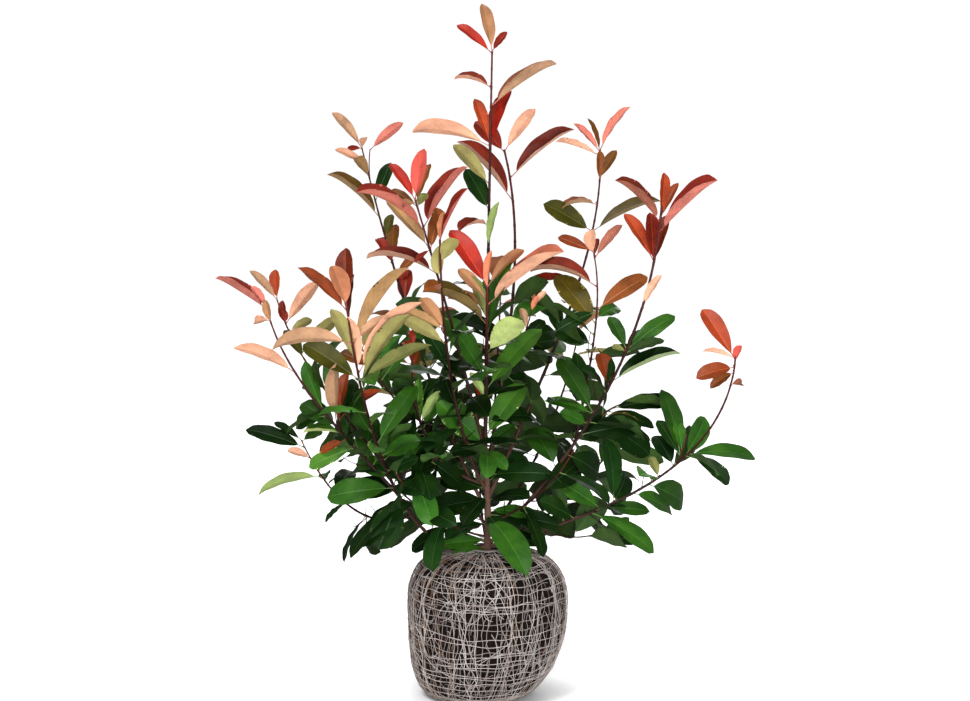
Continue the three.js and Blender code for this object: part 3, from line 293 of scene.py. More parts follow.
def heading(bearing, lean):
    a, l = math.radians(bearing), math.radians(lean)
    return np.array([math.cos(a) * math.sin(l), math.sin(a) * math.sin(l), math.cos(l)])


def at(line, u):
    s = u * (len(line) - 1)
    i = min(int(s), len(line) - 2)
    return line[i] * (1 - (s - i)) + line[i + 1] * (s - i)


def along(line, u):
    return unit(at(line, min(u + 0.03, 1)) - at(line, max(u - 0.03, 0)))


LINES = {}
for name, (grows_from, where, b0, l0, b1, l1, length, bend, r0, r1) in LIMBS.items():
    foot = np.array([0, 0, GROUND]) if grows_from is None else at(LINES[grows_from], where)
    start, end, line = heading(b0, l0), heading(b1, l1), [foot]
    for i in range(LIMB_STEPS):
        u = ((i + 0.5) / LIMB_STEPS) ** bend
        line.append(line[-1] + unit(start * (1 - u) + end * u) * length / LIMB_STEPS)
    LINES[name] = np.array(line)


def filling(name):
    """The leaves that a shoot's seeded rule gives it, each as (place, bearing, lean, length, roll, arch, width, fold, tint, True)."""
    rows = []
    for lo, hi, count, bearing, seed, tints in FILLING.get(name, []):
        nxt = seeded(seed * 7919 + 13)
        for i in range(count):
            t = (i + 0.5) / count
            u = hi + (lo - hi) * t + (nxt() - 0.5) * 0.6 * (hi - lo) / count
            a = bearing + i * TURN + (nxt() - 0.5) * 50
            lean = 60 + 34 * t + (nxt() - 0.5) * 32
            size = 84 + 16 * min(1, 2 * t) + (nxt() - 0.5) * 26
            roll = (nxt() - 0.5) * 70
            arch = 15 + nxt() * 30
            tint = tints[min(len(tints) - 1, int(t * len(tints) + (nxt() - 0.5) * 0.9 + 1e-9))]
            rows.append((min(1, max(0.02, u)), a, lean, size, roll, arch, FILL_WIDTH, TINTS[tint][6], tint, True))
    return rows


# ------------------------------------------------------------------ meshes
class Pile:
    """Vertices, faces and material numbers that grow into one mesh."""

    def __init__(self):
        self.v, self.uv, self.quads, self.qm, self.tris, self.tm, self.n = [], [], [], [], [], [], 0

    def add(self, verts, uv, quads, qm, tris=(), tm=()):
        self.v.append(np.asarray(verts, float))
        self.uv.append(np.asarray(uv, float))
        if len(quads):
            self.quads.append(np.asarray(quads, np.int64) + self.n)
            self.qm.append(np.broadcast_to(np.asarray(qm, np.int32), (len(quads),)))
        if len(tris):
            self.tris.append(np.asarray(tris, np.int64) + self.n)
            self.tm.append(np.broadcast_to(np.asarray(tm, np.int32), (len(tris),)))
        self.n += len(verts)

    def build(self, name, materials, crease=None):
        v, uv = np.concatenate(self.v) * MM, np.concatenate(self.uv)
        q = np.concatenate(self.quads) if self.quads else np.zeros((0, 4), int)
        t = np.concatenate(self.tris) if self.tris else np.zeros((0, 3), int)
        corners = np.concatenate([q.ravel(), t.ravel()]).astype(np.int32)
        total = np.r_[np.full(len(q), 4), np.full(len(t), 3)].astype(np.int32)
        me = bpy.data.meshes.new(name)
        me.vertices.add(len(v))
        me.vertices.foreach_set("co", v.astype(np.float32).ravel())
        me.loops.add(len(corners))
        me.loops.foreach_set("vertex_index", corners)
        me.polygons.add(len(total))
        me.polygons.foreach_set("loop_start", np.r_[0, np.cumsum(total)[:-1]].astype(np.int32))
        for m in materials:
            me.materials.append(m)
        me.polygons.foreach_set("material_index", np.concatenate(self.qm + self.tm).astype(np.int32))
        me.polygons.foreach_set("use_smooth", np.ones(len(total), bool))
        layer = me.uv_layers.new(name="grain")
        layer.uv.foreach_set("vector", uv[corners].astype(np.float32).ravel())
        me.update(calc_edges=True)
        me.validate()
        if crease:
            me.set_sharp_from_angle(angle=math.radians(crease))
        ob = bpy.data.objects.new(name, me)
        bpy.context.scene.collection.objects.link(ob)
        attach(ob, "root")
        return ob


def grid_faces(rows, cols):
    """Quads of rows of cols vertices, each row a closed ring."""
    r, c = np.arange(rows - 1)[:, None], np.arange(cols)[None, :]
    a, b = r * cols + c, r * cols + (c + 1) % cols
    return np.stack([a, b, b + cols, a + cols], -1).reshape(-1, 4)


def noise(p, seed, octaves=1):
    """Smooth noise of points p (n,3), one lump per unit, about -1 to 1."""
    out, amp, p = 0, 1.0, np.asarray(p, float)
    for o in range(octaves):
        q = p * 2**o + 17.3 * o
        i = np.floor(q).astype(np.int64)
        f = q - i
        f = f * f * (3 - 2 * f)
        for k in range(8):
            d = np.array([k & 1, k >> 1 & 1, k >> 2 & 1])
            j = i + d
            h = (j[:, 0] * 374761393 + j[:, 1] * 668265263 + j[:, 2] * 974634777 + (seed + o) * 1274126177) & 0xFFFFFFFF
            h = ((h ^ (h >> 13)) * 1274126177) & 0xFFFFFFFF
            h = ((h ^ (h >> 16)) & 0xFFFF) / 32767.5 - 1
            out = out + amp * h * np.prod(np.where(d, f, 1 - f), axis=1)
        amp *= 0.5
    return out


def frames_of(pts):
    """Directions along, beside and above at each point of a line, with no twist."""
    way = np.gradient(pts, axis=0)
    way /= np.linalg.norm(way, axis=1)[:, None] + 1e-12
    side = np.zeros_like(way)
    s = np.array([1.0, 0, 0]) if abs(way[0][0]) < 0.8 else np.array([0, 1.0, 0])
    for i in range(len(pts)):
        s = s - way[i] * (s @ way[i])
        s = s / np.linalg.norm(s)
        side[i] = s
    return way, side, np.cross(way, side)


def tube(pile, pts, radii, sides, mats, age=None):
    """A closed tube round pts, its radii given per point or per point and side, its ends drawn out a little."""
    pts = np.asarray(pts, float)
    n = len(pts)
    way, side, other = frames_of(pts)
    a = np.arange(sides) * 2 * PI / sides
    radii = np.asarray(radii, float)
    radii = np.repeat(radii[:, None], sides, 1) if radii.ndim == 1 else radii
    v = pts[:, None] + (side[:, None] * np.cos(a)[None, :, None] + other[:, None] * np.sin(a)[None, :, None]) * radii[:, :, None]
    tips = [pts[0] - way[0] * radii[0].mean() * 0.5, pts[-1] + way[-1] * radii[-1].mean() * 0.6]
    far = np.r_[0, np.cumsum(np.linalg.norm(np.diff(pts, axis=0), axis=1))]
    age = np.zeros(n) if age is None else np.broadcast_to(np.asarray(age, float), (n,))
    uv = np.stack([np.repeat(age, sides), np.repeat(far / 100, sides)], -1)
    uv = np.vstack([uv, [age[0], 0], [age[-1], far[-1] / 100]])
    c = np.arange(sides)
    d = (c + 1) % sides
    last = (n - 1) * sides
    tris = np.vstack([np.stack([np.full(sides, n * sides), d, c], -1), np.stack([np.full(sides, n * sides + 1), last + c, last + d], -1)])
    mats = np.broadcast_to(np.asarray(mats), (n,))
    pile.add(np.vstack([v.reshape(-1, 3), tips]), uv, grid_faces(n, sides), np.repeat(mats[:-1], sides),
             tris, np.r_[np.full(sides, mats[0]), np.full(sides, mats[-1])])


def resampled(line, step):
    """Points every step along a smooth curve through line."""
    n = len(line)
    t = np.arange(n)
    far = np.r_[0, np.cumsum(np.linalg.norm(np.diff(line, axis=0), axis=1))]
    count = max(4, int(round(far[-1] / step)) + 1)
    s = np.interp(np.linspace(0, far[-1], count), far, t)
    i = np.clip(s.astype(int), 0, n - 2)
    f = (s - i)[:, None]
    p0, p1, p2, p3 = line[np.maximum(i - 1, 0)], line[i], line[i + 1], line[np.minimum(i + 2, n - 1)]
    return 0.5 * (2 * p1 + (p2 - p0) * f + (2 * p0 - 5 * p1 + 4 * p2 - p3) * f**2 + (3 * p1 - p0 - 3 * p2 + p3) * f**3)


# ------------------------------------------------------------------ materials
def linear(c):
    c = np.clip(np.asarray(c, float), 0, 255) / 255
    return np.where(c <= 0.04045, c / 12.92, ((c + 0.055) / 1.055) ** 2.4)


class Finish:
    """A material and short ways to wire its nodes."""

    def __init__(self, name, rough, spec=0.5):
        self.mat = bpy.data.materials.new(name)
        self.mat.use_nodes = True
        self.tree = self.mat.node_tree
        self.main = self.tree.nodes["Principled BSDF"]
        self.main.inputs["Roughness"].default_value = rough
        self.main.inputs["Specular IOR Level"].default_value = spec
        self.coords = self.tree.nodes.new("ShaderNodeTexCoord").outputs["Object"]

    def node(self, kind, **values):
        n = self.tree.nodes.new(kind)
        for k, v in values.items():
            n.inputs[k].default_value = v
        return n

    def join(self, a, b):
        self.tree.links.new(a, b)

    def noise(self, scale, detail=3.0, rough=0.55, vector=None, warp=0.0):
        n = self.node("ShaderNodeTexNoise", Scale=scale, Detail=detail, Roughness=rough, Distortion=warp)
        self.join(vector or self.coords, n.inputs["Vector"])
        return n.outputs["Fac"]

    def cells(self, scale, kind="F1"):
        n = self.node("ShaderNodeTexVoronoi", Scale=scale)
        n.feature = kind
        self.join(self.coords, n.inputs["Vector"])
        return n.outputs["Distance"]

    def maths(self, what, *values):
        n = self.tree.nodes.new("ShaderNodeMath")
        n.operation = what
        for i, x in enumerate(values):
            if isinstance(x, (int, float)):
                n.inputs[i].default_value = x
            else:
                self.join(x, n.inputs[i])
        return n.outputs[0]

    def ramp(self, value, stops):
        n = self.tree.nodes.new("ShaderNodeValToRGB")
        e = n.color_ramp.elements
        while len(e) < len(stops):
            e.new(0.5)
        for slot, (place, colour) in zip(e, stops):
            slot.position = place
            slot.color = (*[float(x) for x in colour], 1)
        self.join(value, n.inputs["Fac"])
        return n.outputs["Color"]

    def mix(self, share, a, b, how="MIX"):
        n = self.tree.nodes.new("ShaderNodeMix")
        n.data_type = "RGBA"
        n.blend_type = how
        for value, k in ((share, 0), (a, 6), (b, 7)):
            if isinstance(value, (int, float)):
                n.inputs[k].default_value = value
            elif isinstance(value, (tuple, list, np.ndarray)):
                n.inputs[k].default_value = (*[float(x) for x in value], 1)
            else:
                self.join(value, n.inputs[k])
        return n.outputs[2]

    def grain(self):
        n = self.tree.nodes.new("ShaderNodeUVMap")
        n.uv_map = "grain"
        s = self.tree.nodes.new("ShaderNodeSeparateXYZ")
        self.join(n.outputs["UV"], s.inputs["Vector"])
        return s.outputs["X"], s.outputs["Y"]

    def colour(self, socket):
        self.join(socket, self.main.inputs["Base Color"])

    def rough(self, value, low, high):
        n = self.node("ShaderNodeMapRange", **{"To Min": low, "To Max": high})
        self.join(value, n.inputs["Value"])
        self.join(n.outputs["Result"], self.main.inputs["Roughness"])

    def bump(self, height, depth_mm, strength=1.0):
        n = self.node("ShaderNodeBump", Strength=strength, Distance=depth_mm * MM)
        self.join(height, n.inputs["Height"])
        self.join(n.outputs["Normal"], self.main.inputs["Normal"])


def blade(name, colour, warm, rough, spec, vein_light, vein_depth):
    """A leaf face: near-plain, with faint cloudy patches, feathered side veins and a fine skin."""
    k = Finish(name, rough, spec)
    colour = np.array(colour, float)
    lo, hi = linear(colour * 0.88 - np.array(warm) * 0.6), linear(colour * 1.07 + np.array(warm))
    cloud = k.ramp(k.noise(31.0, 3.0, 0.6), [(0.32, lo), (0.5, linear(colour)), (0.70, hi)])
    x, y = k.grain()
    away = k.maths("ABSOLUTE", k.maths("SUBTRACT", y, 0.5))
    phase = k.maths("SUBTRACT", k.maths("MULTIPLY", x, 9.0), k.maths("MULTIPLY", away, 5.0))
    wave = k.maths("ABSOLUTE", k.maths("SUBTRACT", k.maths("FRACT", phase), 0.5))  # 0 on a vein, 0.5 between two
    vein = k.maths("SUBTRACT", 1.0, k.maths("MINIMUM", k.maths("MULTIPLY", wave, 7.0), 1.0))
    edge = k.maths("MULTIPLY", k.maths("POWER", k.maths("MULTIPLY", away, 2.0), 3.0), 0.16)
    veined = k.mix(k.maths("MULTIPLY", vein, vein_light), cloud, linear(colour * 1.15 + 22))
    k.colour(k.mix(edge, veined, linear(colour * 0.62 + np.array([10, 2, 2]))))
    skin = k.noise(700.0, 2.0, 0.5)
    k.bump(k.maths("ADD", k.maths("MULTIPLY", vein, -1.0 if vein_depth > 0 else 1.0), k.maths("MULTIPLY", skin, 0.12)), abs(vein_depth))
    k.rough(k.noise(110.0, 2.0, 0.5), rough - 0.04, rough + 0.06)
    return k.mat


def rib(name, colour, rough):
    k = Finish(name, rough)
    k.colour(k.ramp(k.noise(120.0), [(0.3, linear(np.array(colour) * 0.9)), (0.7, linear(np.array(colour) * 1.08))]))
    k.bump(k.noise(1500.0, 2.0), 0.15)
    return k.mat


def wood(name, stops, rough, relief):
    """Bark whose colour follows the age of the wood, with dull patches, fine cracks and small pale pores."""
    k = Finish(name, rough, 0.20)
    age, far = k.grain()
    tone = k.ramp(k.maths("ADD", age, k.maths("MULTIPLY", k.maths("SUBTRACT", k.noise(60.0, 4.0, 0.6), 0.5), 0.18)), stops)
    patch = k.mix(k.maths("MULTIPLY", k.noise(260.0, 4.0, 0.65), 0.55), tone, (0.35, 0.33, 0.33), "MULTIPLY")
    pores = k.maths("LESS_THAN", k.cells(420.0), 0.10)
    k.colour(k.mix(k.maths("MULTIPLY", pores, 0.35), patch, (0.42, 0.30, 0.24)))
    k.bump(k.maths("ADD", k.noise(700.0, 4.0, 0.7), k.maths("MULTIPLY", pores, 0.4)), relief)
    k.rough(k.noise(300.0), rough - 0.08, rough + 0.1)
    return k.mat


# tint: piece's name, record slot, upper face, underside, roughness above, shine above, fold of each half, edge wave
TINTS = {
    "R": ("leaves_red", "leaf_red", (160, 38, 24), (210, 86, 74), 0.42, 0.18, 28, 0.6),
    "O": ("leaves_orange_red", "leaf_red", (152, 58, 28), (226, 134, 100), 0.44, 0.16, 27, 0.6),
    "M": ("leaves_maroon", "leaf_red", (118, 33, 19), (194, 94, 84), 0.42, 0.12, 28, 0.6),
    "P": ("leaves_pink_backed", "leaf_red", (128, 36, 24), (212, 120, 104), 0.44, 0.16, 30, 0.6),
    "S": ("leaves_salmon", "leaf_red", (188, 103, 77), (231, 169, 137), 0.50, 0.20, 26, 0.5),
    "N": ("leaves_peach_backed", "leaf_red", (112, 38, 25), (222, 164, 136), 0.42, 0.14, 34, 0.6),
    "W": ("leaves_tan_backed", "leaf_bronze", (92, 66, 24), (166, 128, 84), 0.42, 0.15, 34, 0.7),
    "K": ("leaves_grey_backed", "leaf_green", (16, 42, 9), (158, 178, 124), 0.40, 0.16, 30, 0.8),
    "B": ("leaves_bronze", "leaf_bronze", (120, 64, 24), (174, 124, 86), 0.42, 0.14, 24, 0.7),
    "V": ("leaves_olive", "leaf_bronze", (78, 68, 18), (152, 144, 86), 0.44, 0.10, 18, 0.8),
    "G": ("leaves_green", "leaf_green", (42, 85, 20), (64, 92, 40), 0.42, 0.13, 13, 0.9),
    # The darkest green is the old leaves' own darker green, pushed darker still to paint the shade inside and low in
    # the crown, where these leaves are dealt out.
    "D": ("leaves_dark_green", "leaf_green", (17, 42, 10), (44, 66, 28), 0.46, 0.05, 11, 0.9),
    "L": ("leaves_pale_green", "leaf_green", (62, 108, 32), (182, 198, 120), 0.44, 0.22, 14, 0.8),
}
SHADES = ((1.0, (0, 0, 0)), (0.83, (-4, 4, -3)), (1.12, (8, 0, 1)))  # each tint comes in three shades
GREEN_SHADES = ((1.0, (0, 0, 0)), (0.74, (-2, 0, -2)), (1.20, (2, 4, 5)))  # further apart on the old leaves

# ------------------------------------------------------------------ leaves
blades = {t: Pile() for t in TINTS}
stalks = Pile()
BEND = np.linspace(0, 1, LEAF_STATIONS)
V = 0.55 * BEND + 0.45 * (0.5 - 0.5 * np.cos(PI * BEND))  # places along the blade, closer at its ends
COLUMNS = np.array([-1, -0.66, -0.32, 0, 0, 0.32, 0.66, 1])
SIGNS = np.array([-1, -1, -1, -1, 1, 1, 1, 1])


def leaf(line, row, thick, nxt):
    """Adds one leaf and its stalk. row is (place, bearing, lean, length, roll, arch, width, fold, tint, whether it fills)."""
    u, bearing, lean, size, roll, arch, width, fold, tint, fills = row
    way, base = along(line, u), at(line, u)
    a, l = math.radians(bearing), math.radians(lean)
    h = np.array([math.cos(a), math.sin(a), 0.0])
    out = unit(h - (h @ way) * way)
    chord = way * math.cos(l) + out * math.sin(l)
    up = way
    if fills:
        o = np.array([base[0], base[1], 0.0])
        up = 0.30 * way + np.array([0, 0, 0.45]) + 0.75 * o / (np.linalg.norm(o) + 60.0)
    n0 = up - (up @ chord) * chord
    if np.linalg.norm(n0) < 0.15:
        n0 = n0 + np.array([0, 0, 0.3])
        n0 = n0 - (n0 @ chord) * chord
    n0 = unit(n0)
    q = math.radians(roll)
    up = math.cos(q) * n0 + math.sin(q) * np.cross(chord, n0)
    side = np.cross(chord, up)

    # the leaf's spine is an arc over its chord, from the shoot's middle to the tip
    k = math.radians(max(arch, 1))
    u_ = LEAF_STALK + (1 - LEAF_STALK) * V

    def spine(w):
        x = np.sin(k * (w - 0.5)) / (2 * math.sin(k / 2)) + 0.5
        z = (np.cos(k * (w - 0.5)) - math.cos(k / 2)) / (2 * math.sin(k / 2))
        return base + size * (x[:, None] * chord + z[:, None] * up)

    mid = spine(u_)
    turn = k * (0.5 - u_)[:, None]  # the spine's slope over its chord
    ahead = chord * np.cos(turn) + up * np.sin(turn)
    over = up * np.cos(turn) - chord * np.sin(turn)
    wave = TINTS[tint][7] * (0.6 + 0.8 * nxt())
    young = min(1.0, max(0.0, (75 - size) / 40))
    fold = math.radians(fold * (0.8 + 0.4 * nxt()) + 12 * young) if fills else math.radians(fold * (0.96 + 0.08 * nxt()) + 5 * young)
    twist = (nxt() - 0.5) * math.radians(24 if fills else 9)
    beats, start_l, start_r = 2.0 + 1.6 * nxt(), nxt() * 2 * PI, nxt() * 2 * PI
    width = width * (0.95 + 0.1 * nxt()) * size / 2
    t = twist * (V - 0.35)[:, None]
    over, across = over * np.cos(t) + side * np.sin(t), side * np.cos(t) - over * np.sin(t)
    # widest about its middle or a little beyond, drawn out to a short point
    outline = V ** (0.66 + 0.20 * nxt()) * (1 - V) ** (0.54 + 0.12 * nxt())
    outline = outline / outline.max() * (1 - 0.34 * np.exp(-(((V - 0.968) / 0.028) ** 2)))

    ribw = (0.62 * (1 - V) ** 0.7 + 0.13) * min(1.0, size / 85)
    half = np.maximum(width * outline, ribw + 0.12)
    tooth = np.where(np.arange(LEAF_STATIONS) % 2, TOOTH, -TOOTH * 0.4) * np.clip(np.sin(PI * V) * 3, 0, 1)
    x = ribw[:, None] + (half - ribw)[:, None] * np.abs(COLUMNS)[None]
    x[:, [0, 7]] += tooth[:, None]
    bend = fold * (1.06 - 0.22 * V)[:, None]
    lateral = (ribw[:, None] + (x - ribw[:, None]) * np.cos(bend)) * SIGNS
    rise = (x - ribw[:, None]) * np.sin(bend) * (1 - 0.16 * np.abs(COLUMNS) * outline[:, None])
    ripple = np.where(SIGNS < 0, np.sin(2 * PI * beats * V[:, None] + start_l), np.sin(2 * PI * beats * V[:, None] + start_r))
    rise = rise + wave * ripple * np.abs(COLUMNS) ** 2 * outline[:, None]
    rise = rise - (0.05 if fills else 0.025) * size * np.clip(V - 0.72, 0, 1)[:, None] ** 2 / 0.08
    lift = np.zeros_like(rise)
    lift[:, [0, 7]] = tooth[:, None] * 1.2
    spot = mid[:, None] + across[:, None] * lateral[..., None] + over[:, None] * rise[..., None] + ahead[:, None] * lift[..., None]
    top = spot + over[:, None] * LEAF_SKIN
    low = spot - over[:, None] * LEAF_SKIN
    top[:, 3:5] -= over[:, None] * 0.14
    low[:, 3:5] -= over[:, None] * (0.14 + 0.36 * (1 - V))[:, None, None]
    top[:, [0, 7]] = spot[:, [0, 7]]
    ring = np.concatenate([top, low[:, 6:0:-1]], 1)  # 14 round each station
    if fills and ((ring < FURTHEST[0]).any() or (ring > FURTHEST[1]).any()):
        return  # it would stand out past the plant's own size
    uvy = 0.5 + 0.5 * np.concatenate([COLUMNS, COLUMNS[6:0:-1]])
    uv = np.stack([np.repeat(V, 14), np.tile(uvy, LEAF_STATIONS)], -1)
    n = LEAF_STATIONS
    ends = np.array([ring[0].mean(0), ring[-1].mean(0) + ahead[-1] * 0.5])
    shade = int(nxt() * (3 if fills else 1.5))
    face = np.array([0] * 3 + [2] + [0] * 3 + [1] * 3 + [3] + [1] * 3) + 4 * shade
    c = np.arange(14)
    d = (c + 1) % 14
    tris = np.vstack([np.stack([np.full(14, n * 14), d, c], -1), np.stack([np.full(14, n * 14 + 1), (n - 1) * 14 + c, (n - 1) * 14 + d], -1)])
    blades[tint].add(np.vstack([ring.reshape(-1, 3), ends]), np.vstack([uv, [0, 0.5], [1, 0.5]]), grid_faces(n, 14),
                     np.tile(face, n - 1), tris, np.tile(face, 2))

    # stalk, from inside the shoot to a little way under the blade
    w = np.array([0, 0.03, 0.065, 0.10, 0.135, 0.165])
    r = np.array([1.25, 0.95, 0.80, 0.78, 0.72, 0.35]) * (0.75 + 0.25 * min(1.0, size / 95))
    p = spine(w)
    p[3:] -= up * np.array([0.05, 0.25, 0.35])[:, None]
    tube(stalks, p, r, 6, {"R": 0, "O": 0, "M": 0, "P": 0, "S": 1, "N": 0, "W": 2, "K": 3, "B": 1, "V": 2, "G": 3, "D": 3, "L": 3}[tint], age=0.9)
    # the bud that sits in the angle between stalk and shoot
    if u < 0.98:
        b = base + out * (thick * 0.8) + way * 2.2
        to = unit(way * 0.9 + out * 0.5)
        big = 2.2 + 1.6 * nxt()
        tube(stalks, b + to * (np.array([0, 0.3, 0.62, 0.9]) * big)[:, None], np.array([0.75, 1.0, 0.72, 0.25]) * big * 0.36, 6, 4, age=0.8)


def radius_at(name, u):
    r0, r1 = LIMBS[name][8:10]
    return r0 + (r1 - r0) * u


leaf_rows = {}
for shoot in LIMBS:
    rows = [(*r, False) for r in LEADING.get(shoot, [])] + filling(shoot)
    leaf_rows[shoot] = rows
    nxt = seeded(sum(ord(c) * (i + 3) for i, c in enumerate(shoot)) * 31 + 7)
    for row in rows:
        leaf(LINES[shoot], row, radius_at(shoot, row[0]), nxt)

most = {}
for mass, shoots in MASSES.items():
    tally = [r[8] for s in shoots for r in leaf_rows[s]]
    most.setdefault(max(TINTS, key=lambda t: tally.count(t)), []).append(mass)
leaf_pieces = {}
for tint, (name, slot, upper, under, rough, shine, fold, wave) in TINTS.items():
    if not blades[tint].n:
        continue
    mats = []
    for i, (dim, shift) in enumerate(GREEN_SHADES if tint in "GD" else SHADES):
        above, below = (np.clip(np.array(c) * dim + shift, 4, 250) for c in (upper, under))
        mats += [blade(f"{name}_upper_{i}", above, (6, 3, 0), rough, shine, 0.10, 0.07),
                 blade(f"{name}_under_{i}", below, (4, 4, 2), 0.62, 0.16, 0.14, -0.025),
                 rib(f"{name}_rib_{i}", above * 1.12 + (16, 16, 8), 0.45), rib(f"{name}_rib_under_{i}", below * 0.92 + (8, 6, 2), 0.55)]
    ob = blades[tint].build(name, mats, crease=52)
    leaf_pieces[tint] = ob
    if most.get(tint):
        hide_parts(*most[tint])
left_over = [m for t, ms in most.items() if t not in leaf_pieces for m in ms]
assert not left_over, left_over

OLD, MID, DARK, RED, FRESH = (122, 92, 78), (70, 40, 32), (34, 13, 11), (58, 14, 15), (100, 36, 32)
WOOD_STOPS = [(0.0, linear(OLD)), (0.25, linear(MID)), (0.5, linear(DARK)), (0.75, linear(RED)), (1.0, linear(FRESH))]
stalk_ob = stalks.build("leaf_stalks_and_buds", [
    rib("stalk_red", (142, 64, 60), 0.45), rib("stalk_salmon", (176, 112, 96), 0.5), rib("stalk_olive", (132, 108, 66), 0.5),
    rib("stalk_green", (96, 120, 60), 0.5), rib("bud_scales", (110, 48, 38), 0.45)])

# ------------------------------------------------------------------ trunk, boughs and shoots
trunk_pile, bough_pile = Pile(), Pile()
AGES = {"trunk": (0.0, 0.16)}
for n_, (name, row) in enumerate(LIMBS.items()):
    parent, where, *_, length, bend, r0, r1 = row
    if name == "trunk":
        line = np.vstack([[0, 0, GROUND - 4], LINES[name]])
        pts, sides = resampled(line, 1.6), 26
        far = np.r_[0, np.cumsum(np.linalg.norm(np.diff(pts, axis=0), axis=1))] - 4
        r = r0 + (r1 - r0) * np.clip(far / length, 0, 1)
        r = r * (1 + FLARE * np.exp(-np.maximum(far, 0) / FLARE_REACH))
        a0, a1 = AGES[name]
    else:
        pts, sides = resampled(LINES[name], 3.0), 12
        far = np.r_[0, np.cumsum(np.linalg.norm(np.diff(pts, axis=0), axis=1))]
        r = r0 + (r1 - r0) * np.clip(far / length, 0, 1)
        p0, p1 = AGES[parent]
        a0 = p0 + (p1 - p0) * where + 0.06
        a1 = max(a0 + 0.1, 0.98 if length > 120 else 0.9)
        r = r * (1 + 0.35 * np.exp(-far / 5.0))  # collar where it leaves its parent
    AGES[name] = (a0, a1)
    age = a0 + (a1 - a0) * np.clip(far / length, 0, 1)
    # swellings where leaves sit, and the rings of those that have dropped
    knots = [row_[0] * length for row_ in leaf_rows[name]]
    nxt = seeded(n_ * 977 + 5)
    x = 10 + 8 * nxt()
    while x < length * 0.98:
        knots.append(x)
        x += 16 + 14 * nxt()
    swell = sum(np.exp(-(((far - k) / 1.9) ** 2)) for k in knots)
    r = r * (1 + 0.13 * np.minimum(swell, 1.2)) + 0.08 * np.minimum(swell, 1)
    a = np.arange(sides) * 2 * PI / sides
    ring = np.stack([np.tile(np.cos(a), len(pts)), np.tile(np.sin(a), len(pts)), np.repeat(far, sides)], -1)
    old = np.clip(1 - age * 1.6, 0.12, 1)
    lumps = noise(ring * [1.1, 1.1, 0.05] + n_ * 7.7, 11, 2).reshape(-1, sides) * 0.075
    cracks = noise(ring * [5.5, 5.5, 0.22] + n_ * 3.1, 23, 2).reshape(-1, sides) * (0.22 * old)[:, None]
    rr = r[:, None] * (1 + lumps) + np.minimum(cracks, 0.16)
    tube(trunk_pile if name == "trunk" else bough_pile, pts, rr, sides, 0, age=age)

# thin side twigs, most of them bare, on the older half of the boughs
for n_, name in enumerate(LIMBS):
    nxt = seeded(n_ * 613 + 41)
    length, r0, r1 = LIMBS[name][6], *LIMBS[name][8:10]
    if length < 200 or name == "front":
        continue
    for i in range(4 if length > 420 else 3):
        u = 0.10 + 0.42 * (i + nxt()) / 4
        way, foot = along(LINES[name], u), at(LINES[name], u)
        a = 2 * PI * nxt()
        flat = np.array([math.cos(a), math.sin(a), 0.0])
        out = unit(flat - (flat @ way) * way)
        step, thick, pts = 4.0, (r0 + (r1 - r0) * u) * 0.42, [foot]
        to = unit(out + way * (0.4 + 0.6 * nxt()))
        turn = unit(np.array([nxt() - 0.5, nxt() - 0.5, 0.7 * nxt() + 0.1]))
        count = int(7 + 10 * nxt())
        for j in range(count):
            to = unit(to + turn * 0.06 + 0.05 * np.array([nxt() - 0.5, nxt() - 0.5, nxt() - 0.5]))
            pts.append(pts[-1] + to * step)
        far = np.arange(count + 1) * step
        knots = np.exp(-(((far % 17) - 8) / 1.8) ** 2)
        tube(bough_pile, pts, np.maximum(thick * (1 - 0.5 * far / far[-1]), 0.55) * (1 + 0.22 * knots), 7, 0, age=0.45)

bark = wood("bark_old", WOOD_STOPS, 0.72, 0.5)
young_bark = wood("bark_young", WOOD_STOPS, 0.5, 0.22)
trunk_ob = trunk_pile.build("trunk_bark", [bark])
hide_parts("trunk")
bough_ob = bough_pile.build("boughs_and_shoots", [young_bark])
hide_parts(*[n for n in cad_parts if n.startswith("bough")])

# ------------------------------------------------------------------ root ball
low = np.linspace(0, PI / 2, 60)
high = np.linspace(0, PI / 2, 50)
WIDE_Z = BALL_WIDEST * BALL_HEIGHT
PR = np.r_[BALL_SOLE + (BALL_RADIUS - BALL_SOLE) * np.sin(low) ** 0.8, BALL_RADIUS * np.cos(high[1:]) ** 0.5]
PZ = np.r_[WIDE_Z * (1 - np.cos(low) ** 0.9), WIDE_Z + (BALL_HEIGHT - WIDE_Z) * np.sin(high[1:]) ** 0.9]
keep = (PR > 14)
PR, PZ = PR[keep], PZ[keep]
PS = np.r_[0, np.cumsum(np.hypot(np.diff(PR), np.diff(PZ)))]
PROFILE = PS[-1]  # length of the ball's outline from the sole's edge to the trunk, in mm


def ball(theta, s, lift=0.0):
    """Points on the ball: theta round it, s millimetres up its outline, lift above its skin."""
    theta, s = np.broadcast_arrays(np.asarray(theta, float), np.asarray(s, float))
    s = np.clip(s, 0, PROFILE)
    r, z = np.interp(s, PS, PR), np.interp(s, PS, PZ)
    d = 3.0
    dr = np.interp(s + d, PS, PR) - np.interp(s - d, PS, PR)
    dz = np.interp(s + d, PS, PZ) - np.interp(s - d, PS, PZ)
    m = np.hypot(dr, dz) + 1e-9
    nr, nz = dz / m, -dr / m
    nz = np.where(s > PROFILE - 4, 1.0, nz)
    h = z / BALL_HEIGHT
    r = r * (1 + 0.014 * np.sin(3 * theta + 1) * np.sin(PI * h) + 0.010 * np.sin(5 * theta + 4 * h) * np.sin(PI * h))
    r = r + lift * nr
    return np.stack([r * np.cos(theta) + BALL_SAG * (1 - h) ** 3, r * np.sin(theta) * BALL_DEPTH, z + lift * nz], -1)


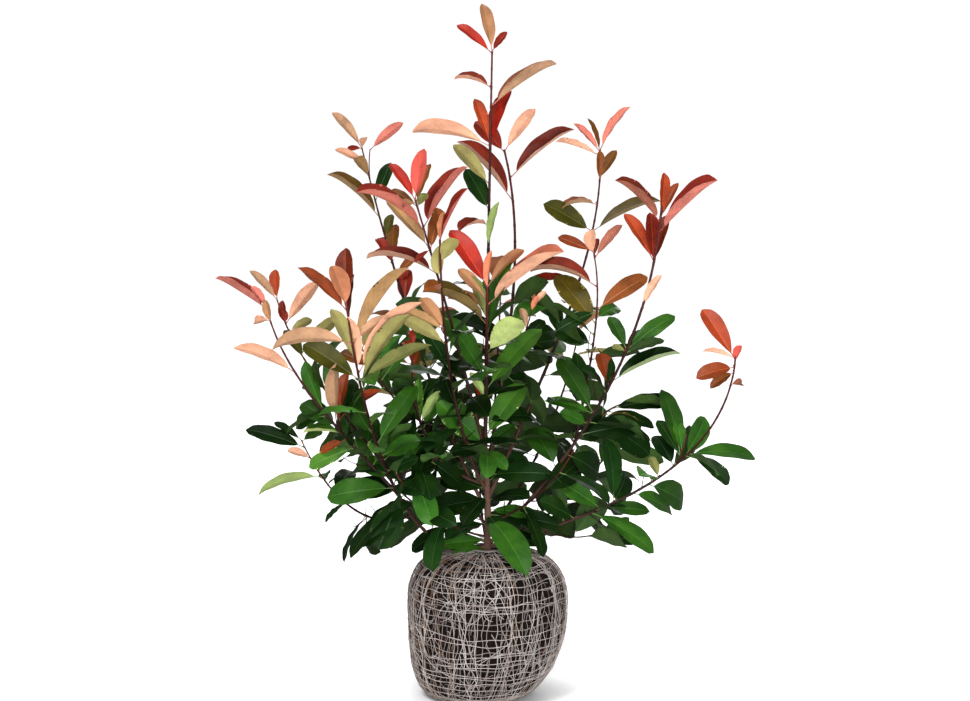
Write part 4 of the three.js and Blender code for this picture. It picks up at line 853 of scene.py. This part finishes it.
soil = Pile()
rows_, cols_ = 120, 220
ss, tt = np.linspace(0, PROFILE, rows_), np.arange(cols_) * 2 * PI / cols_
S, T = np.meshgrid(ss, tt, indexing="ij")
rough_ground = ball(T.ravel(), S.ravel(), 0)
lumps = noise(rough_ground / 17, 3, 3) * 1.6 + noise(rough_ground / 5, 5, 2) * 0.8
fade = np.clip(S.ravel() / 12, 0, 1)
skin = ball(T.ravel(), S.ravel(), -2.2 + lumps * fade)
skin[:, 2] = np.maximum(skin[:, 2], 0)
skin[: cols_, 2] = 0
foot = np.array([[BALL_SAG, 0, 0], [0, 0, BALL_HEIGHT - 1]])
c = np.arange(cols_)
d = (c + 1) % cols_
# rings run counter-clockwise seen from above and rows climb, which puts the faces outwards
tris = np.vstack([np.stack([np.full(cols_, rows_ * cols_), d, c], -1), np.stack([np.full(cols_, rows_ * cols_ + 1), (rows_ - 1) * cols_ + c, (rows_ - 1) * cols_ + d], -1)])
soil.add(np.vstack([skin, foot]), np.zeros((len(skin) + 2, 2)), grid_faces(rows_, cols_), 0, tris, 0)
k = Finish("moist_soil", 0.9, 0.12)
earth = k.ramp(k.noise(90.0, 6.0, 0.7), [(0.30, linear((8, 6, 5))), (0.52, linear((17, 12, 10))), (0.74, linear((36, 25, 20)))])
specks = k.maths("LESS_THAN", k.cells(260.0), 0.16)
k.colour(k.mix(k.maths("MULTIPLY", specks, 0.6), earth, linear((78, 46, 33))))
k.bump(k.maths("ADD", k.noise(380.0, 5.0, 0.75), k.maths("MULTIPLY", k.cells(170.0), 0.8)), 2.2)
soil_ob = soil.build("root_ball_soil", [k.mat])
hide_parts("root_ball")

# ------------------------------------------------------------------ the net of threads
uprights, hoops = Pile(), Pile()
roll_ = np.random.default_rng(20406)


def wander(n, step_mm, size, reach):
    """A smooth random walk of n points: size in mm, over lumps of reach mm."""
    knots = max(4, int(n * step_mm / reach) + 4)
    return np.interp(np.linspace(0, knots - 1, n), np.arange(knots), roll_.normal(0, size, knots))


def smooth(x, times=2):
    x = np.array(x, float)
    for _ in range(times):
        x[1:-1] = 0.25 * x[:-2] + 0.5 * x[1:-1] + 0.25 * x[2:]
    return x


def thread(pile, theta, s, tint, radius=THREAD, lift=None, sides=5):
    n = len(theta)
    lift = smooth(0.7 + 0.9 * roll_.random(n), 3) if lift is None else lift
    p = ball(theta, s, lift)
    p[:, 2] = np.maximum(p[:, 2], radius * 1.75)
    r = radius * (1 + 0.16 * smooth(roll_.normal(0, 1, n), 1))
    tube(pile, p, np.clip(r, radius * 0.6, radius * 1.5), sides, tint)


def tint_of(left):
    """Threads are mostly pale, and browner on the left side."""
    p = roll_.random()
    return 2 if p < (0.26 if left else 0.06) else 1 if p < (0.58 if left else 0.38) else 0


# uprights: wavy, bunched here and there, running over the shoulder to the trunk's foot
COUNT = 128
for i in range(COUNT):
    t0 = 2 * PI * (i + 0.7 * (roll_.random() - 0.5)) / COUNT
    t0 += 0.045 * math.sin(9 * t0 + 1.3) + 0.03 * math.sin(17 * t0)
    lo, hi = roll_.uniform(0, 10), PROFILE - roll_.uniform(0, 26)
    s = np.arange(lo, hi, 4.2)
    r = np.maximum(np.interp(s, PS, PR), 40)
    shift = smooth(wander(len(s), 4.2, 1.9, 17) + wander(len(s), 4.2, 4.0, 60))
    thread(uprights, t0 + shift / r, s, tint_of(math.cos(t0) < -0.25), THREAD * roll_.uniform(0.75, 1.15))
# a second, sparser set that leans across the first
for i in range(64):
    t0 = roll_.uniform(0, 2 * PI)
    lean = roll_.choice([-1, 1]) * roll_.uniform(0.18, 0.55)
    lo = roll_.uniform(0, 130)
    s = np.arange(lo, min(PROFILE - 12, lo + roll_.uniform(90, 210)), 4.2)
    r = np.maximum(np.interp(s, PS, PR), 45)
    thread(uprights, t0 + (lean * (s - s[0]) + smooth(wander(len(s), 4.2, 1.6, 18))) / r, s, tint_of(math.cos(t0) < -0.25), THREAD * 0.85)

# hoops: closed rings that sag, tilt a little and waver
for j in range(23):
    s0 = 9 + (PROFILE - 56) * (j + 0.2 * (roll_.random() - 0.5)) / 22
    r = np.interp(s0, PS, PR)
    n = int(2 * PI * r / 4.4)
    t = np.linspace(0, 2 * PI, n, endpoint=False)
    s = s0 + 9.0 * np.cos(t) ** 2 - 2.0 * np.cos(t - roll_.uniform(-0.8, 0.8)) + 1.6 * np.sin(2 * t + roll_.uniform(0, 6)) + 1.0 * np.sin(5 * t + roll_.uniform(0, 6)) + smooth(wander(n, 4.4, 1.5, 20))
    cut = roll_.integers(n)
    t, s = np.roll(t, cut), np.roll(s, cut)
    t = np.unwrap(t)
    s = s + (s[0] - s[-1]) * np.clip((np.arange(n) - n + 12) / 12, 0, 1)
    t = np.r_[t, t[0] + 2 * PI]
    s = np.r_[s, s[0]]
    thread(hoops, t, s, tint_of(roll_.random() < 0.3))
# part hoops, closest together near the sole
for j in range(64):
    s0 = 6 + (PROFILE - 60) * roll_.random() ** 1.9
    t0, span = roll_.uniform(0, 2 * PI), roll_.uniform(0.5, 2.6)
    r = np.interp(s0, PS, PR)
    n = max(6, int(span * r / 4.6))
    t = t0 + np.linspace(0, span, n)
    s = s0 + roll_.normal(0, 9) * np.linspace(-0.5, 0.5, n) + smooth(wander(n, 4.6, 1.6, 24)) + roll_.uniform(-6, 6) * np.sin(np.linspace(0, PI, n))
    thread(hoops, t, np.clip(s, 2, PROFILE - 6), tint_of(math.cos(t0 + span / 2) < -0.25), THREAD * roll_.uniform(0.7, 1.0))

# short slanting threads that tie the net's meshes
for j in range(420):
    s0, t0 = 8 + (PROFILE - 50) * roll_.random() ** 1.05, roll_.uniform(0, 2 * PI)
    way, span = roll_.uniform(0, PI), roll_.uniform(22, 70)
    n = max(5, int(span / 4.5))
    w = np.linspace(0, span, n)
    r = max(45, np.interp(s0, PS, PR))
    bow = roll_.normal(0, 4) * np.sin(PI * w / span)
    t = t0 + (w * math.cos(way) - bow * math.sin(way)) / r
    s = s0 + w * math.sin(way) + bow * math.cos(way)
    thread(hoops, t, np.clip(s, 2, PROFILE - 4), tint_of(math.cos(t0) < -0.25), THREAD * roll_.uniform(0.6, 0.9))


def up_outline(z):
    return float(np.interp(z, PZ, PS))


# gathers, where the threads are drawn together to a point like a star
gathers = [(-92, 167), (-99, 200), (-52, 90)] + [(roll_.uniform(-20, 230), roll_.uniform(60, 190)) for _ in range(7)]
for bearing, z in gathers:
    t0, s0 = math.radians(bearing), up_outline(z)
    r = np.interp(s0, PS, PR)
    first = roll_.uniform(0, 2 * PI)
    for i in range(11):
        way, span = first + i * 2 * PI / 11 + roll_.uniform(-0.2, 0.2), roll_.uniform(20, 46)
        n = max(5, int(span / 4))
        w = np.linspace(0.5, span, n)
        bow = roll_.normal(0, 3) * np.sin(PI * w / span)
        t = t0 + (w * math.cos(way) - bow * math.sin(way)) / r
        s = s0 + w * math.sin(way) + bow * math.cos(way)
        thread(hoops, t, np.clip(s, 2, PROFILE - 4), 0 if roll_.random() < 0.7 else 1, THREAD * 0.8, lift=np.linspace(2.6, 1.2, n))

# the net is drawn in round the trunk's foot
for j in range(5):
    t = np.linspace(0, 2 * PI * 1.06, 40) + roll_.uniform(0, 6)
    r = 19.5 + 2.2 * j + 0.8 * np.sin(3 * t + j)
    z = BALL_HEIGHT + 1.8 + 0.9 * (j % 2) + 0.5 * np.sin(5 * t)
    tube(hoops, np.stack([r * np.cos(t), r * np.sin(t), z], -1), np.full(40, THREAD), 5, j % 2)

# loose fibres that stand off the threads
fuzz = Pile()
for j in range(760):
    left = roll_.random() < 0.45
    t0 = math.radians(roll_.uniform(150, 245)) if left else roll_.uniform(0, 2 * PI)
    s0 = 6 + (PROFILE - 30) * roll_.random()
    way, span = roll_.uniform(0, 2 * PI), roll_.uniform(7, 24)
    w = np.linspace(0, span, 6)
    r = max(45, np.interp(s0, PS, PR))
    bow = roll_.normal(0, 3.5) * np.sin(PI * w / span)
    t = t0 + (w * math.cos(way) - bow * math.sin(way)) / r
    s = s0 + w * math.sin(way) + bow * math.cos(way)
    p = ball(t, np.clip(s, 2, PROFILE - 4), 1.5 + roll_.uniform(0, 2.4) * np.linspace(0, 1, 6) ** 1.5)
    p[:, 2] = np.maximum(p[:, 2], 0.5)
    tube(fuzz, p, np.linspace(0.30, 0.14, 6), 4, 3 if roll_.random() < 0.25 else 1 if roll_.random() < 0.6 else 0)


def twine(name, colour, rough=0.85):
    """Spun fibre: pale and dark strands that wind round the thread, with dirt worked in."""
    k = Finish(name, rough, 0.2)
    strand = k.noise(1600.0, 2.0, 0.6)
    tone = k.ramp(strand, [(0.30, linear(np.array(colour) * 0.80)), (0.70, linear(np.array(colour) * 1.08))])
    dirt = k.ramp(k.noise(75.0, 4.0, 0.65), [(0.38, (1, 1, 1)), (0.72, (0.44, 0.39, 0.37))])
    k.colour(k.mix(0.7, tone, dirt, "MULTIPLY"))
    k.bump(k.noise(2400.0, 3.0, 0.6), 0.35)
    return k.mat


twines = [twine("twine_pale", (208, 199, 195)), twine("twine_beige", (158, 148, 143)), twine("twine_brown", (144, 117, 96)),
          twine("fibre_red_brown", (122, 68, 52))]
for pile, name in ((uprights, "net_uprights"), (hoops, "net_hoops_and_ties"), (fuzz, "net_loose_fibres")):
    pile.build(name, twines)

# ------------------------------------------------------------------ studio
floor_mesh = bpy.data.meshes.new("floor")
floor_mesh.from_pydata([(-6, -5, 0), (6, -5, 0), (6, 7, 0), (-6, 7, 0)], [], [(0, 1, 2, 3)])
floor = bpy.data.objects.new("floor", floor_mesh)
bpy.context.scene.collection.objects.link(floor)
k = Finish("pale_floor", 0.9, 0.05)
k.colour(k.ramp(k.noise(3.0, 2.0), [(0.3, (0.60, 0.60, 0.60)), (0.7, (0.63, 0.63, 0.63))]))
k.main.inputs["Emission Color"].default_value = (1, 1, 1, 1)
# The floor glows for camera rays alone, which keeps it evenly white; the ambient occlusion dims that glow within 7 cm
# of the ball, a painted contact shadow round the ball's foot.
glow = k.tree.nodes.new("ShaderNodeLightPath")
near = k.node("ShaderNodeAmbientOcclusion", Distance=0.07)
near.samples = 8
k.join(k.maths("MULTIPLY", k.maths("MULTIPLY", glow.outputs["Is Camera Ray"], 0.64), k.maths("POWER", near.outputs["AO"], 1.4)), k.main.inputs["Emission Strength"])
floor_mesh.materials.append(k.mat)

world = bpy.data.worlds.new("studio")
bpy.context.scene.world = world
world.use_nodes = True
sky = world.node_tree.nodes["Background"]
sky.inputs["Color"].default_value = (1, 1, 1, 1)
sky.inputs["Strength"].default_value = 0.30
seen = world.node_tree.nodes.new("ShaderNodeBackground")
seen.inputs["Color"].default_value = (1, 1, 1, 1)
seen.inputs["Strength"].default_value = 1.05
path = world.node_tree.nodes.new("ShaderNodeLightPath")
both = world.node_tree.nodes.new("ShaderNodeMixShader")
world.node_tree.links.new(path.outputs["Is Camera Ray"], both.inputs[0])
world.node_tree.links.new(sky.outputs[0], both.inputs[1])
world.node_tree.links.new(seen.outputs[0], both.inputs[2])
world.node_tree.links.new(both.outputs[0], world.node_tree.nodes["World Output"].inputs["Surface"])


def lamp(name, place, target, size, watts):
    data = bpy.data.lights.new(name, "AREA")
    data.shape, data.size, data.energy = "DISK", size, watts
    ob = bpy.data.objects.new(name, data)
    bpy.context.scene.collection.objects.link(ob)
    ob.location = place
    way = np.array(target, float) - np.array(place, float)
    flat = math.hypot(way[0], way[1])
    ob.rotation_euler = (math.atan2(flat, -way[2]), 0, math.atan2(way[1], way[0]) - PI / 2)
    return ob


lamp("fill", (0.5, -2.9, 0.5), (0, 0, 0.75), 2.2, 116)
lamp("back", (0.4, 2.9, 1.7), (0, 0, 0.6), 2.0, 46)
sun = bpy.data.lights.new("key", "SUN")
sun.energy, sun.angle = 2.45, math.radians(18)
key = bpy.data.objects.new("key", sun)
bpy.context.scene.collection.objects.link(key)
key.rotation_euler = (math.radians(36), 0, math.radians(-34))

camera = bpy.data.cameras.new("camera")
camera.sensor_width, camera.lens = 36.0, 2200.5 / 970 * 36
camera.clip_start, camera.clip_end = 0.1, 60
cam = bpy.data.objects.new("camera", camera)
bpy.context.scene.collection.objects.link(cam)
cam.location = (-0.00327, -3.5803, 0.9503)
cam.rotation_euler = (math.radians(84), 0, 0)
bpy.context.scene.camera = cam
bpy.context.scene.view_settings.view_transform = "Standard"
bpy.context.scene.view_settings.look = "None"
